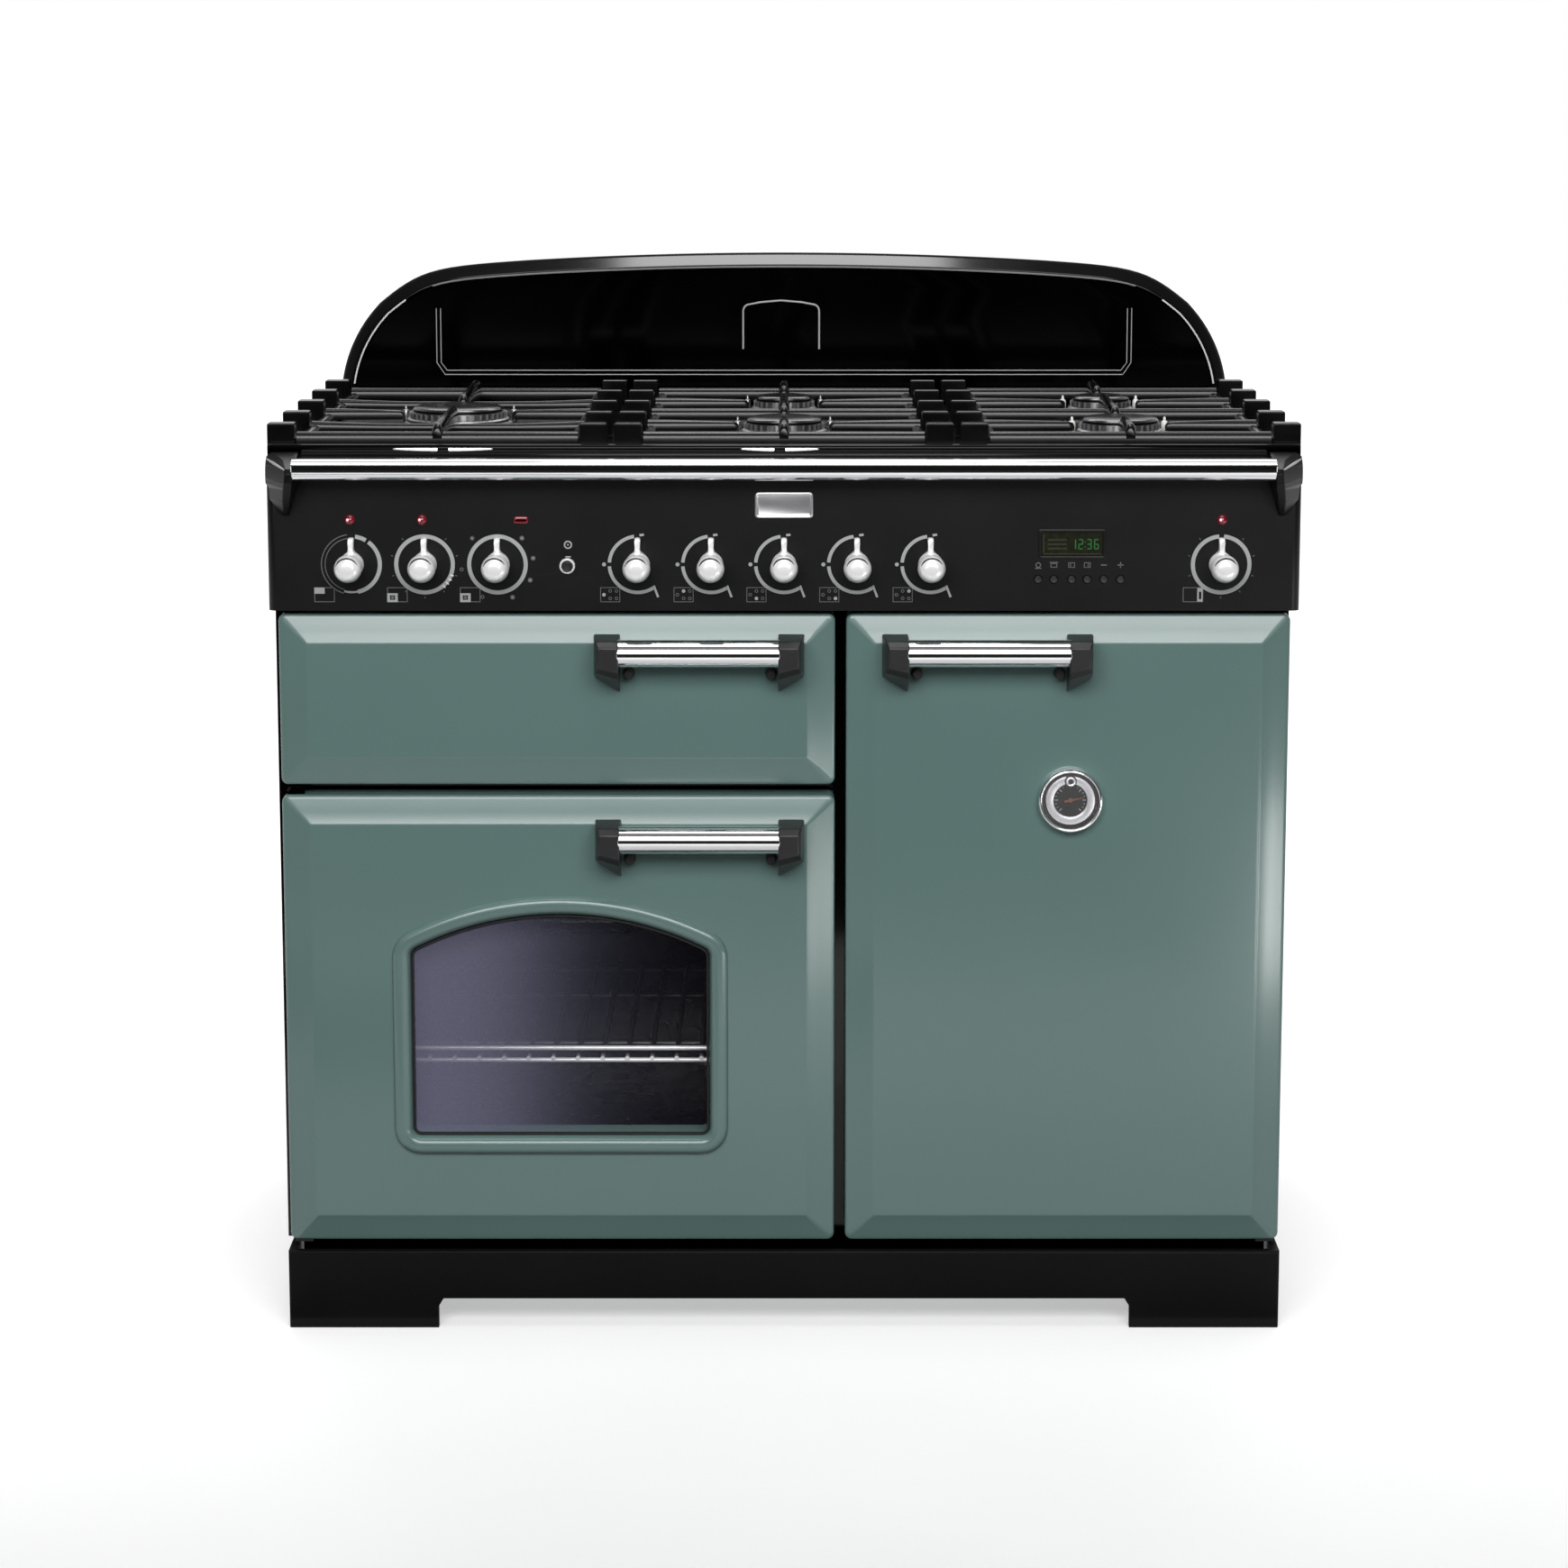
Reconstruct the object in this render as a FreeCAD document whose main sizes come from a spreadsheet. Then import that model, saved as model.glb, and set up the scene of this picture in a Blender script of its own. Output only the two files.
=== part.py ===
import FreeCAD, Part
import Sketcher
import os
from math import cos, sin, radians, sqrt

# Range cooker, 100 cm class. Millimetres, +Z up, front towards -Y, X to the
# right as seen from the front. The origin is on the floor, under the middle
# of the bounding box.

doc = FreeCAD.newDocument("range_cooker")
sheet = doc.addObject("Spreadsheet::Sheet", "dims")


# --------------------------------------------------------------------------
# Dimensions: a number that also knows its expression in the sheet
# --------------------------------------------------------------------------
class E:
    def __init__(self, v, x):
        self.v = float(v)
        self.x = x

    def __add__(self, o):
        return E(self.v + val(o), "(%s + %s)" % (self.x, txt(o)))

    def __radd__(self, o):
        return E(val(o) + self.v, "(%s + %s)" % (txt(o), self.x))

    def __sub__(self, o):
        return E(self.v - val(o), "(%s - %s)" % (self.x, txt(o)))

    def __rsub__(self, o):
        return E(val(o) - self.v, "(%s - %s)" % (txt(o), self.x))

    def __mul__(self, o):
        return E(self.v * val(o), "(%s * %s)" % (self.x, txt(o)))

    def __rmul__(self, o):
        return E(val(o) * self.v, "(%s * %s)" % (txt(o), self.x))

    def __truediv__(self, o):
        return E(self.v / val(o), "(%s / %s)" % (self.x, txt(o)))

    def __neg__(self):
        return E(-self.v, "(0 - %s)" % self.x)


def val(e):
    return e.v if isinstance(e, E) else float(e)


def txt(e):
    if isinstance(e, E):
        return e.x
    return "(%s)" % repr(float(e)) if float(e) < 0 else repr(float(e))


row = [0]


def dim(alias, value):
    row[0] += 1
    r = row[0]
    sheet.set("A%d" % r, alias)
    sheet.set("B%d" % r, repr(float(value)))
    sheet.setAlias("B%d" % r, alias)
    return E(value, "dims." + alias)


def bind(o, prop, e):
    if isinstance(e, E):
        o.setExpression(prop, e.x)


# --------------------------------------------------------------------------
# Small building helpers
# --------------------------------------------------------------------------
made = [0]


def new(kind):
    made[0] += 1
    return doc.addObject(kind, "obj%04d" % made[0])


V = FreeCAD.Vector
ROT = {
    "X": FreeCAD.Rotation(V(0, 1, 0), 90),
    "-X": FreeCAD.Rotation(V(0, 1, 0), -90),
    "Y": FreeCAD.Rotation(V(1, 0, 0), -90),
    "-Y": FreeCAD.Rotation(V(1, 0, 0), 90),
    "Z": FreeCAD.Rotation(),
    "-Z": FreeCAD.Rotation(V(1, 0, 0), 180),
}


def place(o, x, y, z, rot=None):
    o.Placement = FreeCAD.Placement(V(val(x), val(y), val(z)), rot or FreeCAD.Rotation())
    bind(o, "Placement.Base.x", x)
    bind(o, "Placement.Base.y", y)
    bind(o, "Placement.Base.z", z)


def box(x0, x1, y0, y1, z0, z1):
    o = new("Part::Box")
    for prop, a, b in (("Length", x0, x1), ("Width", y0, y1), ("Height", z0, z1)):
        size = b - a
        setattr(o, prop, val(size))
        bind(o, prop, size)
    place(o, x0, y0, z0)
    return o


def cyl(axis, x, y, z, r, length):
    o = new("Part::Cylinder")
    o.Radius = val(r)
    o.Height = val(length)
    bind(o, "Radius", r)
    bind(o, "Height", length)
    place(o, x, y, z, ROT[axis])
    return o


def cone(axis, x, y, z, r1, r2, length):
    o = new("Part::Cone")
    o.Radius1 = val(r1)
    o.Radius2 = val(r2)
    o.Height = val(length)
    bind(o, "Radius1", r1)
    bind(o, "Radius2", r2)
    bind(o, "Height", length)
    place(o, x, y, z, ROT[axis])
    return o


def ball(x, y, z, r):
    o = new("Part::Sphere")
    o.Radius = val(r)
    bind(o, "Radius", r)
    place(o, x, y, z)
    return o


def torus(axis, x, y, z, r1, r2):
    o = new("Part::Torus")
    o.Radius1 = val(r1)
    o.Radius2 = val(r2)
    bind(o, "Radius1", r1)
    bind(o, "Radius2", r2)
    place(o, x, y, z, ROT[axis])
    return o


def frustum(x0, x1, z0, z1, y0, x20, x21, z20, z21, y1):
    """Block with one rectangle at y0 and another at y1."""
    o = new("Part::Wedge")
    for prop, e in (("Xmin", x0), ("Xmax", x1), ("Zmin", z0), ("Zmax", z1), ("Ymin", y0),
                    ("X2min", x20), ("X2max", x21), ("Z2min", z20), ("Z2max", z21), ("Ymax", y1)):
        setattr(o, prop, val(e))
        bind(o, prop, e)
    return o


def fuse(*things):
    things = flat(things)
    if len(things) == 1:
        return things[0]
    o = new("Part::MultiFuse")
    o.Shapes = things
    o.Refine = False
    return o


def cut(base, *tools):
    tools = flat(tools)
    tool = tools[0]
    if len(tools) > 1:
        tool = new("Part::Compound")
        tool.Links = tools
    o = new("Part::Cut")
    o.Base = base
    o.Tool = tool
    o.Refine = False
    return o


def group(*things):
    things = flat(things)
    o = new("Part::Compound")
    o.Links = things
    return o


def flat(things):
    out = []
    for t in things:
        if isinstance(t, (list, tuple)):
            out.extend(flat(t))
        else:
            out.append(t)
    return out


def fillet(base, radius, pick):
    """Round the edges whose middle point satisfies pick(point, direction)."""
    doc.recompute([base])
    edges = []
    for i, e in enumerate(base.Shape.Edges):
        mid = e.valueAt((e.FirstParameter + e.LastParameter) / 2)
        direction = e.tangentAt((e.FirstParameter + e.LastParameter) / 2)
        if pick(mid, direction):
            edges.append((i + 1, val(radius), val(radius)))
    o = new("Part::Fillet")
    o.Base = base
    o.Edges = edges
    return o


def chamfer(base, size, pick):
    doc.recompute([base])
    edges = []
    for i, e in enumerate(base.Shape.Edges):
        mid = e.valueAt((e.FirstParameter + e.LastParameter) / 2)
        direction = e.tangentAt((e.FirstParameter + e.LastParameter) / 2)
        if pick(mid, direction):
            edges.append((i + 1, val(size), val(size)))
    o = new("Part::Chamfer")
    o.Base = base
    o.Edges = edges
    return o


def along(direction, axis):
    return abs(abs({"X": direction.x, "Y": direction.y, "Z": direction.z}[axis]) - 1) < 1e-6


def near(a, b):
    return abs(a - val(b)) < 1e-4


PLANES = {"XY": "XY_Plane", "XZ": "XZ_Plane", "YZ": "YZ_Plane"}


def body():
    return new("PartDesign::Body")


def sketch(bod, plane, loops, offset=0):
    """Closed loops of points and arcs in an origin plane of the body.

    Each loop is a list of (u, v) corners; a corner written as
    (u, v, (um, vm)) starts an arc through (um, vm) to the next corner.
    The corners are held from the sketch origin by bound dimensions.
    """
    sk = bod.newObject("Sketcher::SketchObject", "sk%04d" % made[0])
    made[0] += 1
    for f in bod.Origin.OriginFeatures:
        if f.Role == PLANES[plane]:
            sk.AttachmentSupport = [(f, "")]
    sk.MapMode = "FlatFace"
    if isinstance(offset, E) or offset:
        sk.AttachmentOffset = FreeCAD.Placement(V(0, 0, val(offset)), FreeCAD.Rotation())
        bind(sk, "AttachmentOffset.Base.z", offset)
    for loop in loops:
        n = len(loop)
        ids = []
        for i, p in enumerate(loop):
            q = loop[(i + 1) % n]
            a = V(val(p[0]), val(p[1]), 0)
            b = V(val(q[0]), val(q[1]), 0)
            if len(p) == 3:
                mid = V(val(p[2][0]), val(p[2][1]), 0)
                ccw = (mid - a).cross(b - mid).z > 0
                g = sk.addGeometry(Part.Arc(a, mid, b) if ccw else Part.Arc(b, mid, a), False)
                ids.append((g, 1 if ccw else 2, sk.Geometry[g].Radius))
            else:
                ids.append((sk.addGeometry(Part.LineSegment(a, b), False), 1, None))
        for i in range(n):
            g, s, r = ids[i]
            g2, s2, r2 = ids[(i + 1) % n]
            sk.addConstraint(Sketcher.Constraint("Coincident", g, 3 - s, g2, s2))
        for i, p in enumerate(loop):
            g, s, r = ids[i]
            for name, e in (("DistanceX", p[0]), ("DistanceY", p[1])):
                if abs(val(e)) < 1e-9:
                    axis = -2 if name == "DistanceX" else -1
                    sk.addConstraint(Sketcher.Constraint("PointOnObject", g, s, axis))
                    continue
                c = sk.addConstraint(Sketcher.Constraint(name, -1, 1, g, s, val(e)))
                bind(sk, "Constraints[%d]" % c, e)
            if r is not None and r < 400:
                sk.addConstraint(Sketcher.Constraint("Radius", g, r))
    return sk


def pad(bod, sk, length, reverse=False, midplane=False):
    o = bod.newObject("PartDesign::Pad", "pad%04d" % made[0])
    made[0] += 1
    o.Profile = sk
    o.Length = val(length)
    bind(o, "Length", length)
    o.Reversed = reverse
    if midplane:
        o.Midplane = True
    return o


def pocket(bod, sk, length, reverse=False):
    o = bod.newObject("PartDesign::Pocket", "poc%04d" % made[0])
    made[0] += 1
    o.Profile = sk
    o.Length = val(length)
    bind(o, "Length", length)
    o.Reversed = reverse
    return o


nodes = []


def node(name, o):
    o.Label = name
    nodes.append((name, o))
    return o


# --------------------------------------------------------------------------
# Driving dimensions
# --------------------------------------------------------------------------
half_top = dim("half_top", 496)            # control panel and pan supports
half_body = dim("half_body", 490)          # cabinet and plinth
y_front = dim("y_front", -282)             # door and control panel faces
y_rail = dim("y_rail", -326)               # front of rail, handles and knobs
y_frame = dim("y_frame", -236)             # front of the carcass frame
y_back = dim("y_back", 326)                # rear
skin = dim("skin", 1.6)                      # sheet work
frame_t = dim("frame_thick", 4)
z_plinth = dim("z_plinth", 78.5)
z_arch = dim("z_plinth_arch", 30)
foot_w = dim("plinth_foot_w", 148)
z_body = dim("z_body", 78.5)
z_panel = dim("z_panel", 719.6)
z_hob = dim("z_hob", 868)
z_well = dim("z_well", 874)
z_rim = dim("z_rim", 880)
y_splash = dim("y_splash", 303)

door_back = dim("door_back", -246)
bevel_w = dim("bevel_w", 27)
bevel_d = dim("bevel_d", 9)
door_wall = dim("door_wall", 2)
left_x0 = dim("left_door_x0", -487.7)
left_x1 = dim("left_door_x1", 49.4)
right_x0 = dim("right_door_x0", 60)
right_x1 = dim("right_door_x1", 488.5)
grill_z0 = dim("grill_door_z0", 547.6)
grill_z1 = dim("grill_door_z1", 715.2)
oven_z0 = dim("oven_door_z0", 89.1)
oven_z1 = dim("oven_door_z1", 537)

lm_x0 = dim("left_mouth_x0", -434)
lm_x1 = dim("left_mouth_x1", -4)
rm_x0 = dim("right_mouth_x0", 110)
rm_x1 = dim("right_mouth_x1", 438)
m_z0 = dim("mouth_z0", 130)
lm_z1 = dim("left_mouth_z1", 500)
rm_z1 = dim("right_mouth_z1", 680)
gm_z0 = dim("grill_mouth_z0", 570)
gm_z1 = dim("grill_mouth_z1", 690)
oven_back = dim("oven_back", 220)
grill_back = dim("grill_back", 150)

pin_r = dim("hinge_pin_r", 4)
run = dim("running_gap", 0.05)
hinge_lx = dim("hinge_left_x", -475)
hinge_rx = dim("hinge_right_x", 475.8)
hinge_y = dim("hinge_y", -262)

knob_z = dim("knob_z", 764.6)
spindle_r = dim("spindle_r", 4)
spindle_end = dim("spindle_end", -305)

rail_r = dim("rail_r", 10.5)
rail_z = dim("rail_z", 860)
rail_half = dim("rail_half", 462)

bar_r = dim("handle_bar_r", 13)
foot_r = dim("foot_r", 20)

y_inner = y_frame + frame_t                # back of the front frame

# --------------------------------------------------------------------------
# Cabinet
# --------------------------------------------------------------------------
inner = half_body - skin

node("side_panels", group(
    box(-half_body, -inner, y_inner, y_back, z_body, z_hob),
    box(inner, half_body, y_inner, y_back, z_body, z_hob)))

gas_x, gas_z = dim("gas_x", 455), knob_z
gas_r = dim("gas_thread_r", 9.316)
cable_x, cable_z = dim("cable_x", -430), dim("cable_z", 764)
cable_r = dim("cable_r", 9)

back = box(-inner, inner, y_back - skin, y_back, z_body, z_hob)
collar = cyl("Y", cable_x, y_back - 18, cable_z, cable_r + 6, 18)
vents = [box(-160 + 40 * i, -160 + 40 * i + 24, y_back - skin - 1, y_back + 1, 820, 832) for i in range(9)]
vents += [box(-160 + 40 * i, -160 + 40 * i + 24, y_back - skin - 1, y_back + 1, 800, 812) for i in range(9)]
node("back_panel", cut(fuse(back, collar),
     cyl("Y", cable_x, y_back - 20, cable_z, cable_r, 22),
     cyl("Y", gas_x, y_back - 20, gas_z, 15.5, 22), vents))

node("base_tray", fuse(
    box(-inner, inner, y_inner, y_back - skin, z_body, z_body + skin),
    box(-inner, inner, y_inner, y_inner + skin, z_body, z_body + 25),
    box(-inner, inner, y_back - skin - skin, y_back - skin, z_body, z_body + 25)))

# Plinth: a front board cut away between two foot blocks, and two side boards
# with the same cut-away.
plinth_y = dim("plinth_front", -279)
board = dim("plinth_board", 8)
bod = body()
sk = sketch(bod, "XZ", [[
    (-half_body, 0), (-half_body + foot_w, 0), (-half_body + foot_w, z_arch - 8),
    (-half_body + foot_w + 5, z_arch), (half_body - foot_w - 5, z_arch),
    (half_body - foot_w, z_arch - 8), (half_body - foot_w, 0), (half_body, 0),
    (half_body, z_plinth), (-half_body, z_plinth)]], -(plinth_y + board))
pad(bod, sk, board)
sides = []
for x0, x1 in ((-half_body, -half_body + board), (half_body - board, half_body)):
    sides.append(cut(
        box(x0, x1, plinth_y + board, y_back - 30, 0, z_plinth),
        box(x0 - 1, x1 + 1, plinth_y + foot_w, y_back - 30 - foot_w, -1, z_arch)))
plinth = fillet(fuse(bod, sides), 2.5, lambda p, d: near(p.y, plinth_y) and (
    near(p.z, z_plinth) or (along(d, "Z") and near(abs(p.x), half_body))))
node("plinth", plinth)

feet = []
for sx in (-1, 1):
    for y in (y_inner + 60, y_back - 80):
        feet.append(fuse(
            cyl("Z", sx * 400, y, 0, foot_r, 8),
            cone("Z", sx * 400, y, 8, foot_r, 9, 8),
            cyl("Z", sx * 400, y, 8, 6, z_body - 8)))
node("levelling_feet", group(feet))

# Front frame with the three mouths, and a skirt that closes the view behind the plinth
skirt_z = dim("skirt_z", 40)
node("front_frame", cut(
    fuse(box(-inner, inner, y_frame, y_inner, z_body, z_hob), box(-480, 480, y_frame, y_inner, skirt_z, z_body + 1)),
    box(lm_x0, lm_x1, y_frame - 1, y_inner + 1, m_z0, lm_z1),
    box(lm_x0, lm_x1, y_frame - 1, y_inner + 1, gm_z0, gm_z1),
    box(rm_x0, rm_x1, y_frame - 1, y_inner + 1, m_z0, rm_z1),
    box(-470, 470, y_frame - 1, y_inner + 1, z_panel + 10, z_hob - 12)))

# Control panel: a folded box, open at the back, with rounded upright ends
knob_x = [-415, -345, -275, -140.5, -70, 0, 70, 140.5, 419.5]
knob_names = ["grill_knob", "left_oven_knob", "left_oven_function_knob", "left_burner_knob",
              "centre_rear_burner_knob", "centre_front_burner_knob", "right_front_burner_knob",
              "right_rear_burner_knob", "right_oven_knob"]
neon = [(-416, 807.5), (-347, 807.5), (-252, 807.5), (420, 807.5)]
neon_r = dim("neon_r", 3.5)
button_x, button_z = dim("button_x", -208), dim("button_z", 763)
button_r = dim("button_r", 5)
key_x = [244, 259, 276, 291, 307, 323]
key_z = dim("key_z", 750)
key_r = dim("key_r", 4)
disp = (dim("display_x0", 247), dim("display_x1", 306), dim("display_z0", 772.5), dim("display_z1", 796))
panel_edge = dim("panel_edge_r", 8)

shell = fillet(box(-half_top, half_top, y_front, y_frame, z_panel, z_hob), panel_edge,
               lambda p, d: along(d, "Z") and near(p.y, y_front))
hollow = fillet(box(-half_top + skin, half_top - skin, y_front + skin, y_frame + 5, z_panel + skin, z_hob - skin),
                panel_edge - skin, lambda p, d: along(d, "Z") and near(p.y, y_front + skin))
holes = [cyl("Y", x, y_front - 1, knob_z, 6, skin + 2) for x in knob_x]
holes += [cyl("Y", x, y_front - 1, z, neon_r, skin + 2) for x, z in neon]
holes += [cyl("Y", x, y_front - 1, key_z, key_r + 0.3, skin + 2) for x in key_x]
holes.append(cyl("Y", button_x, y_front - 1, button_z, button_r + 0.3, skin + 2))
holes.append(box(disp[0], disp[1], y_front - 1, y_front + skin + 1, disp[2], disp[3]))
node("control_panel", cut(shell, hollow, holes))

node("indicator_lenses", group([
    fuse(cyl("Y", x, y_front - 1.5, z, neon_r, skin + 6), ball(x, y_front - 0.6, z, neon_r - 0.1))
    for x, z in neon]))

# Front rail and its corbel brackets
rail_y = y_rail + rail_r
node("rail_tube", cyl("X", -rail_half, rail_y, rail_z, rail_r, rail_half * 2))

brackets = []
for s in (-1, 1):
    inner_x, outer_x = s * rail_half, s * 493
    xa, xb = (outer_x, inner_x) if s < 0 else (inner_x, outer_x)
    b = body()
    sk = sketch(b, "YZ", [[
        (y_rail, 848), (y_rail, 868), (y_rail + 5, 873), (y_front, 873), (y_front, 812), (y_front - 4, 812),
        (y_front - 26, 838)]], xa)
    pad(b, sk, xb - xa)
    brackets.append(chamfer(b, 5, lambda p, d, o=val(outer_x): near(p.x, o) and p.y < -283 and p.z > 820))
node("rail_brackets", group(brackets))

# Splashback: a plate with a crowned outline, sunk inside a raised rim
bod = body()
t = dim("splash_depth", 18)
outline = [(-493, z_hob), (-493, 886, (-453, 970)), (-380, 1014.5, (0, 1029.5)), (380, 1014.5, (453, 970)),
           (493, 886), (493, z_hob)]
sk = sketch(bod, "XZ", [outline], -(y_splash + t))
pad(bod, sk, t)
inside = [(-478, 880), (-478, 888, (-441, 960.5)), (-374, 1001.5, (0, 1016.5)), (374, 1001.5, (441, 960.5)),
          (478, 888), (478, 880)]
sk = sketch(bod, "XZ", [inside], -y_splash)
pocket(bod, sk, 10)
node("splashback", cut(bod, box(-430, 430, y_splash + 13, y_splash + t + 1, 876, 972)))


# --------------------------------------------------------------------------
# Hob
# --------------------------------------------------------------------------
burners = {  # centre, hole radius, head radius, cap radius
    "left": (-333, -31, 40, 52, 46),
    "centre_front": (0, -144, 32, 42, 38),
    "centre_rear": (0, 82, 26, 34, 30),
    "right_front": (333, -144, 32, 42, 38),
    "right_rear": (333, 82, 26, 34, 30),
}
tray_front = dim("tray_front", -280)
tray_back = dim("tray_back", 302.5)
ledge_y = dim("flue_ledge_y", 222)
rim_w = dim("tray_rim_w", 11)
tray = box(-494, 494, tray_front, tray_back, z_hob, z_rim)
well = box(-494 + rim_w, 494 - rim_w, tray_front + rim_w, ledge_y, z_well, z_rim + 1)
low_sides = box(-495, 495, tray_front + rim_w, ledge_y, z_well + 1.4, z_rim + 1)
under = box(-490, 490, tray_front + 4, tray_back - 4, z_hob - 1, z_well - skin)
flue = [box(-330 + 60 * i - 22, -330 + 60 * i + 22, 246, 256, z_hob, z_rim + 1) for i in range(12)]
flue += [box(-330 + 60 * i - 22, -330 + 60 * i + 22, 266, 276, z_hob, z_rim + 1) for i in range(12)]
wells = [cyl("Z", b[0], b[1], z_hob, b[2], 20) for b in burners.values()]
node("hob_tray", fillet(cut(tray, well, low_sides, under, flue, wells), 4,
     lambda p, d: near(p.z, z_rim) and near(p.y, tray_front)))

cap_top = dim("cap_top", 894)
heads, caps = [], []
for x, y, hole, head, cap in burners.values():
    core = fuse(cyl("Z", x, y, z_well - 20, hole - 0.5, 20), cyl("Z", x, y, z_well, hole + 8, 3),
                cyl("Z", x, y, z_well + 3, head - 4, 7), cone("Z", x, y, z_well + 7, head - 4, head, 4),
                cyl("Z", x, y, z_well + 11, head, 3), cyl("Z", x, y, 836, 9, z_well - 20 - 836))
    n = 20 if head > 50 else 16
    ports = []
    for i in range(n):
        slot = box(head - 6, head + 2, -0.8, 0.8, z_well + 11.2, z_well + 15)
        slot.Placement = FreeCAD.Placement(
            V(x + (head - 6) * cos(radians(360.0 * i / n)), y + (head - 6) * sin(radians(360.0 * i / n)), val(z_well) + 11.2),
            FreeCAD.Rotation(V(0, 0, 1), 360.0 * i / n))
        ports.append(slot)
    heads.append(cut(core, ports))
    # spark electrode on the left, flame sensor on the right, a little behind the centre
    ex, ey = (head + 9) * cos(radians(20)), y + (head + 9) * sin(radians(20))
    heads.append(fuse(cyl("Z", x - ex, ey, z_well, 3.2, 10), cyl("Z", x - ex, ey, z_well + 10, 1.2, 5)))
    heads.append(fuse(cyl("Z", x + ex, ey, z_well, 3.2, 10), cyl("Z", x + ex, ey, z_well + 10, 1.6, 5)))
    caps.append(fuse(cyl("Z", x, y, z_well + 14, cap, 3.5), cone("Z", x, y, z_well + 17.5, cap, cap - 5, 2.5)))
node("burner_heads", group(heads))
node("burner_caps", group(caps))

# Pan supports: five cross bars with square end stubs, two side rails, a spine
# and fingers that stop short of the burner, on four feet
bar_y = [-257, -144, -31, 82, 195]
z_bar0, z_bar1 = dim("bar_z0", 879), dim("bar_z1", 890)
z_stub0, z_stub1 = dim("stub_z0", 876), dim("stub_z1", 899)
stub = dim("stub_len", 25)
bar_h = dim("bar_half", 6)
span = dim("support_w", 326)
supports = {
    "left_pan_support": (-333, [(-31, 55)]),
    "centre_pan_support": (0, [(-144, 45), (82, 37)]),
    "right_pan_support": (333, [(-144, 45), (82, 37)]),
}
for name, (xc, spots) in supports.items():
    xa, xb = xc - span / 2, xc + span / 2
    bits = []
    for y in bar_y:
        bits.append(box(xa + stub, xb - stub, y - bar_h, y + bar_h, z_bar0, z_bar1))
        for a, b in ((xa, xa + stub + 2), (xb - stub - 2, xb)):
            bits.append(box(a, b, y - 8, y + 8, z_stub0, z_stub1))
    for a in (xa + stub, xb - stub - 12):
        bits.append(box(a, a + 12, bar_y[0], bar_y[-1], z_stub0, z_bar1))
    bits.append(box(xc - 6, xc + 6, bar_y[0] - 6, bar_y[-1] + 6, z_bar0, z_stub1))
    gaps = []
    for y, gap in spots:
        bits.append(box(xa + stub, xb - stub, y - bar_h, y + bar_h, z_bar0, z_stub1))
        gaps.append(cyl("Z", xc, y, z_bar0 - 10, gap, 40))
    feet = []
    for a in (xa + stub + 6, xb - stub - 6):
        for y in (bar_y[0], bar_y[-1]):
            feet.append(cyl("Z", a, y, z_well + 0.3, 5, 4))
    node(name, fuse(cut(fuse(bits), gaps), feet))


# --------------------------------------------------------------------------
# Ovens and grill
# --------------------------------------------------------------------------
def liner(x0, x1, z0, z1, yb):
    """Sheet box, open to the front."""
    return cut(box(x0 - skin, x1 + skin, y_inner, yb + skin, z0 - skin, z1 + skin),
               box(x0, x1, y_inner - 1, yb, z0, z1))


fan_l = (dim("left_fan_x", -219), dim("left_fan_z", 330))
fan_r = (dim("right_fan_x", 274), dim("right_fan_z", 405))
cover_y = dim("fan_cover_y", 178)


def fan_cover(x, z, w, h):
    """Plate on four spacers in front of the fan, with slots for the air."""
    plate = box(x - w / 2, x + w / 2, cover_y, cover_y + 2, z - h / 2, z + h / 2)
    slots = [box(x - 50, x + 50, cover_y - 1, cover_y + 3, z - 42 + 12 * i, z - 37 + 12 * i) for i in range(8)]
    legs = [cyl("Y", x + sx * (w / 2 - 12), cover_y + 2, z + sz * (h / 2 - 12), 5, oven_back - cover_y - 2)
            for sx in (-1, 1) for sz in (-1, 1)]
    return fuse(cut(plate, slots), legs)


node("grill_chamber", liner(lm_x0, lm_x1, gm_z0, gm_z1, grill_back))
node("left_oven_liner", cut(fuse(liner(lm_x0, lm_x1, m_z0, lm_z1, oven_back), fan_cover(fan_l[0], fan_l[1], 300, 260)),
     cyl("Y", fan_l[0], oven_back - 1, fan_l[1], 7, 10)))
node("right_oven_liner", cut(fuse(liner(rm_x0, rm_x1, m_z0, rm_z1, oven_back), fan_cover(fan_r[0], fan_r[1], 270, 300)),
     cyl("Y", fan_r[0], oven_back - 1, fan_r[1], 7, 10)))

# Fans on their motor shafts
shaft_r = dim("fan_shaft_r", 4)
for name, (x, z) in (("left_fan", fan_l), ("right_fan", fan_r)):
    blades = []
    for i in range(8):
        b = box(x, x + 46, cover_y + 12, cover_y + 26, z - 0.8, z + 0.8)
        a = 45.0 * i
        b.Placement = FreeCAD.Placement(
            V(val(x) + 14 * cos(radians(a)), val(cover_y) + 12, val(z) + 14 * sin(radians(a))),
            FreeCAD.Rotation(V(0, 1, 0), -a))
        blades.append(b)
    node(name, fuse(cyl("Y", x, cover_y + 10, z, 16, 14), cyl("Y", x, cover_y + 24, z, 62, 2),
                    cyl("Y", x, cover_y + 10, z, shaft_r, 246 - 188), blades))

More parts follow.
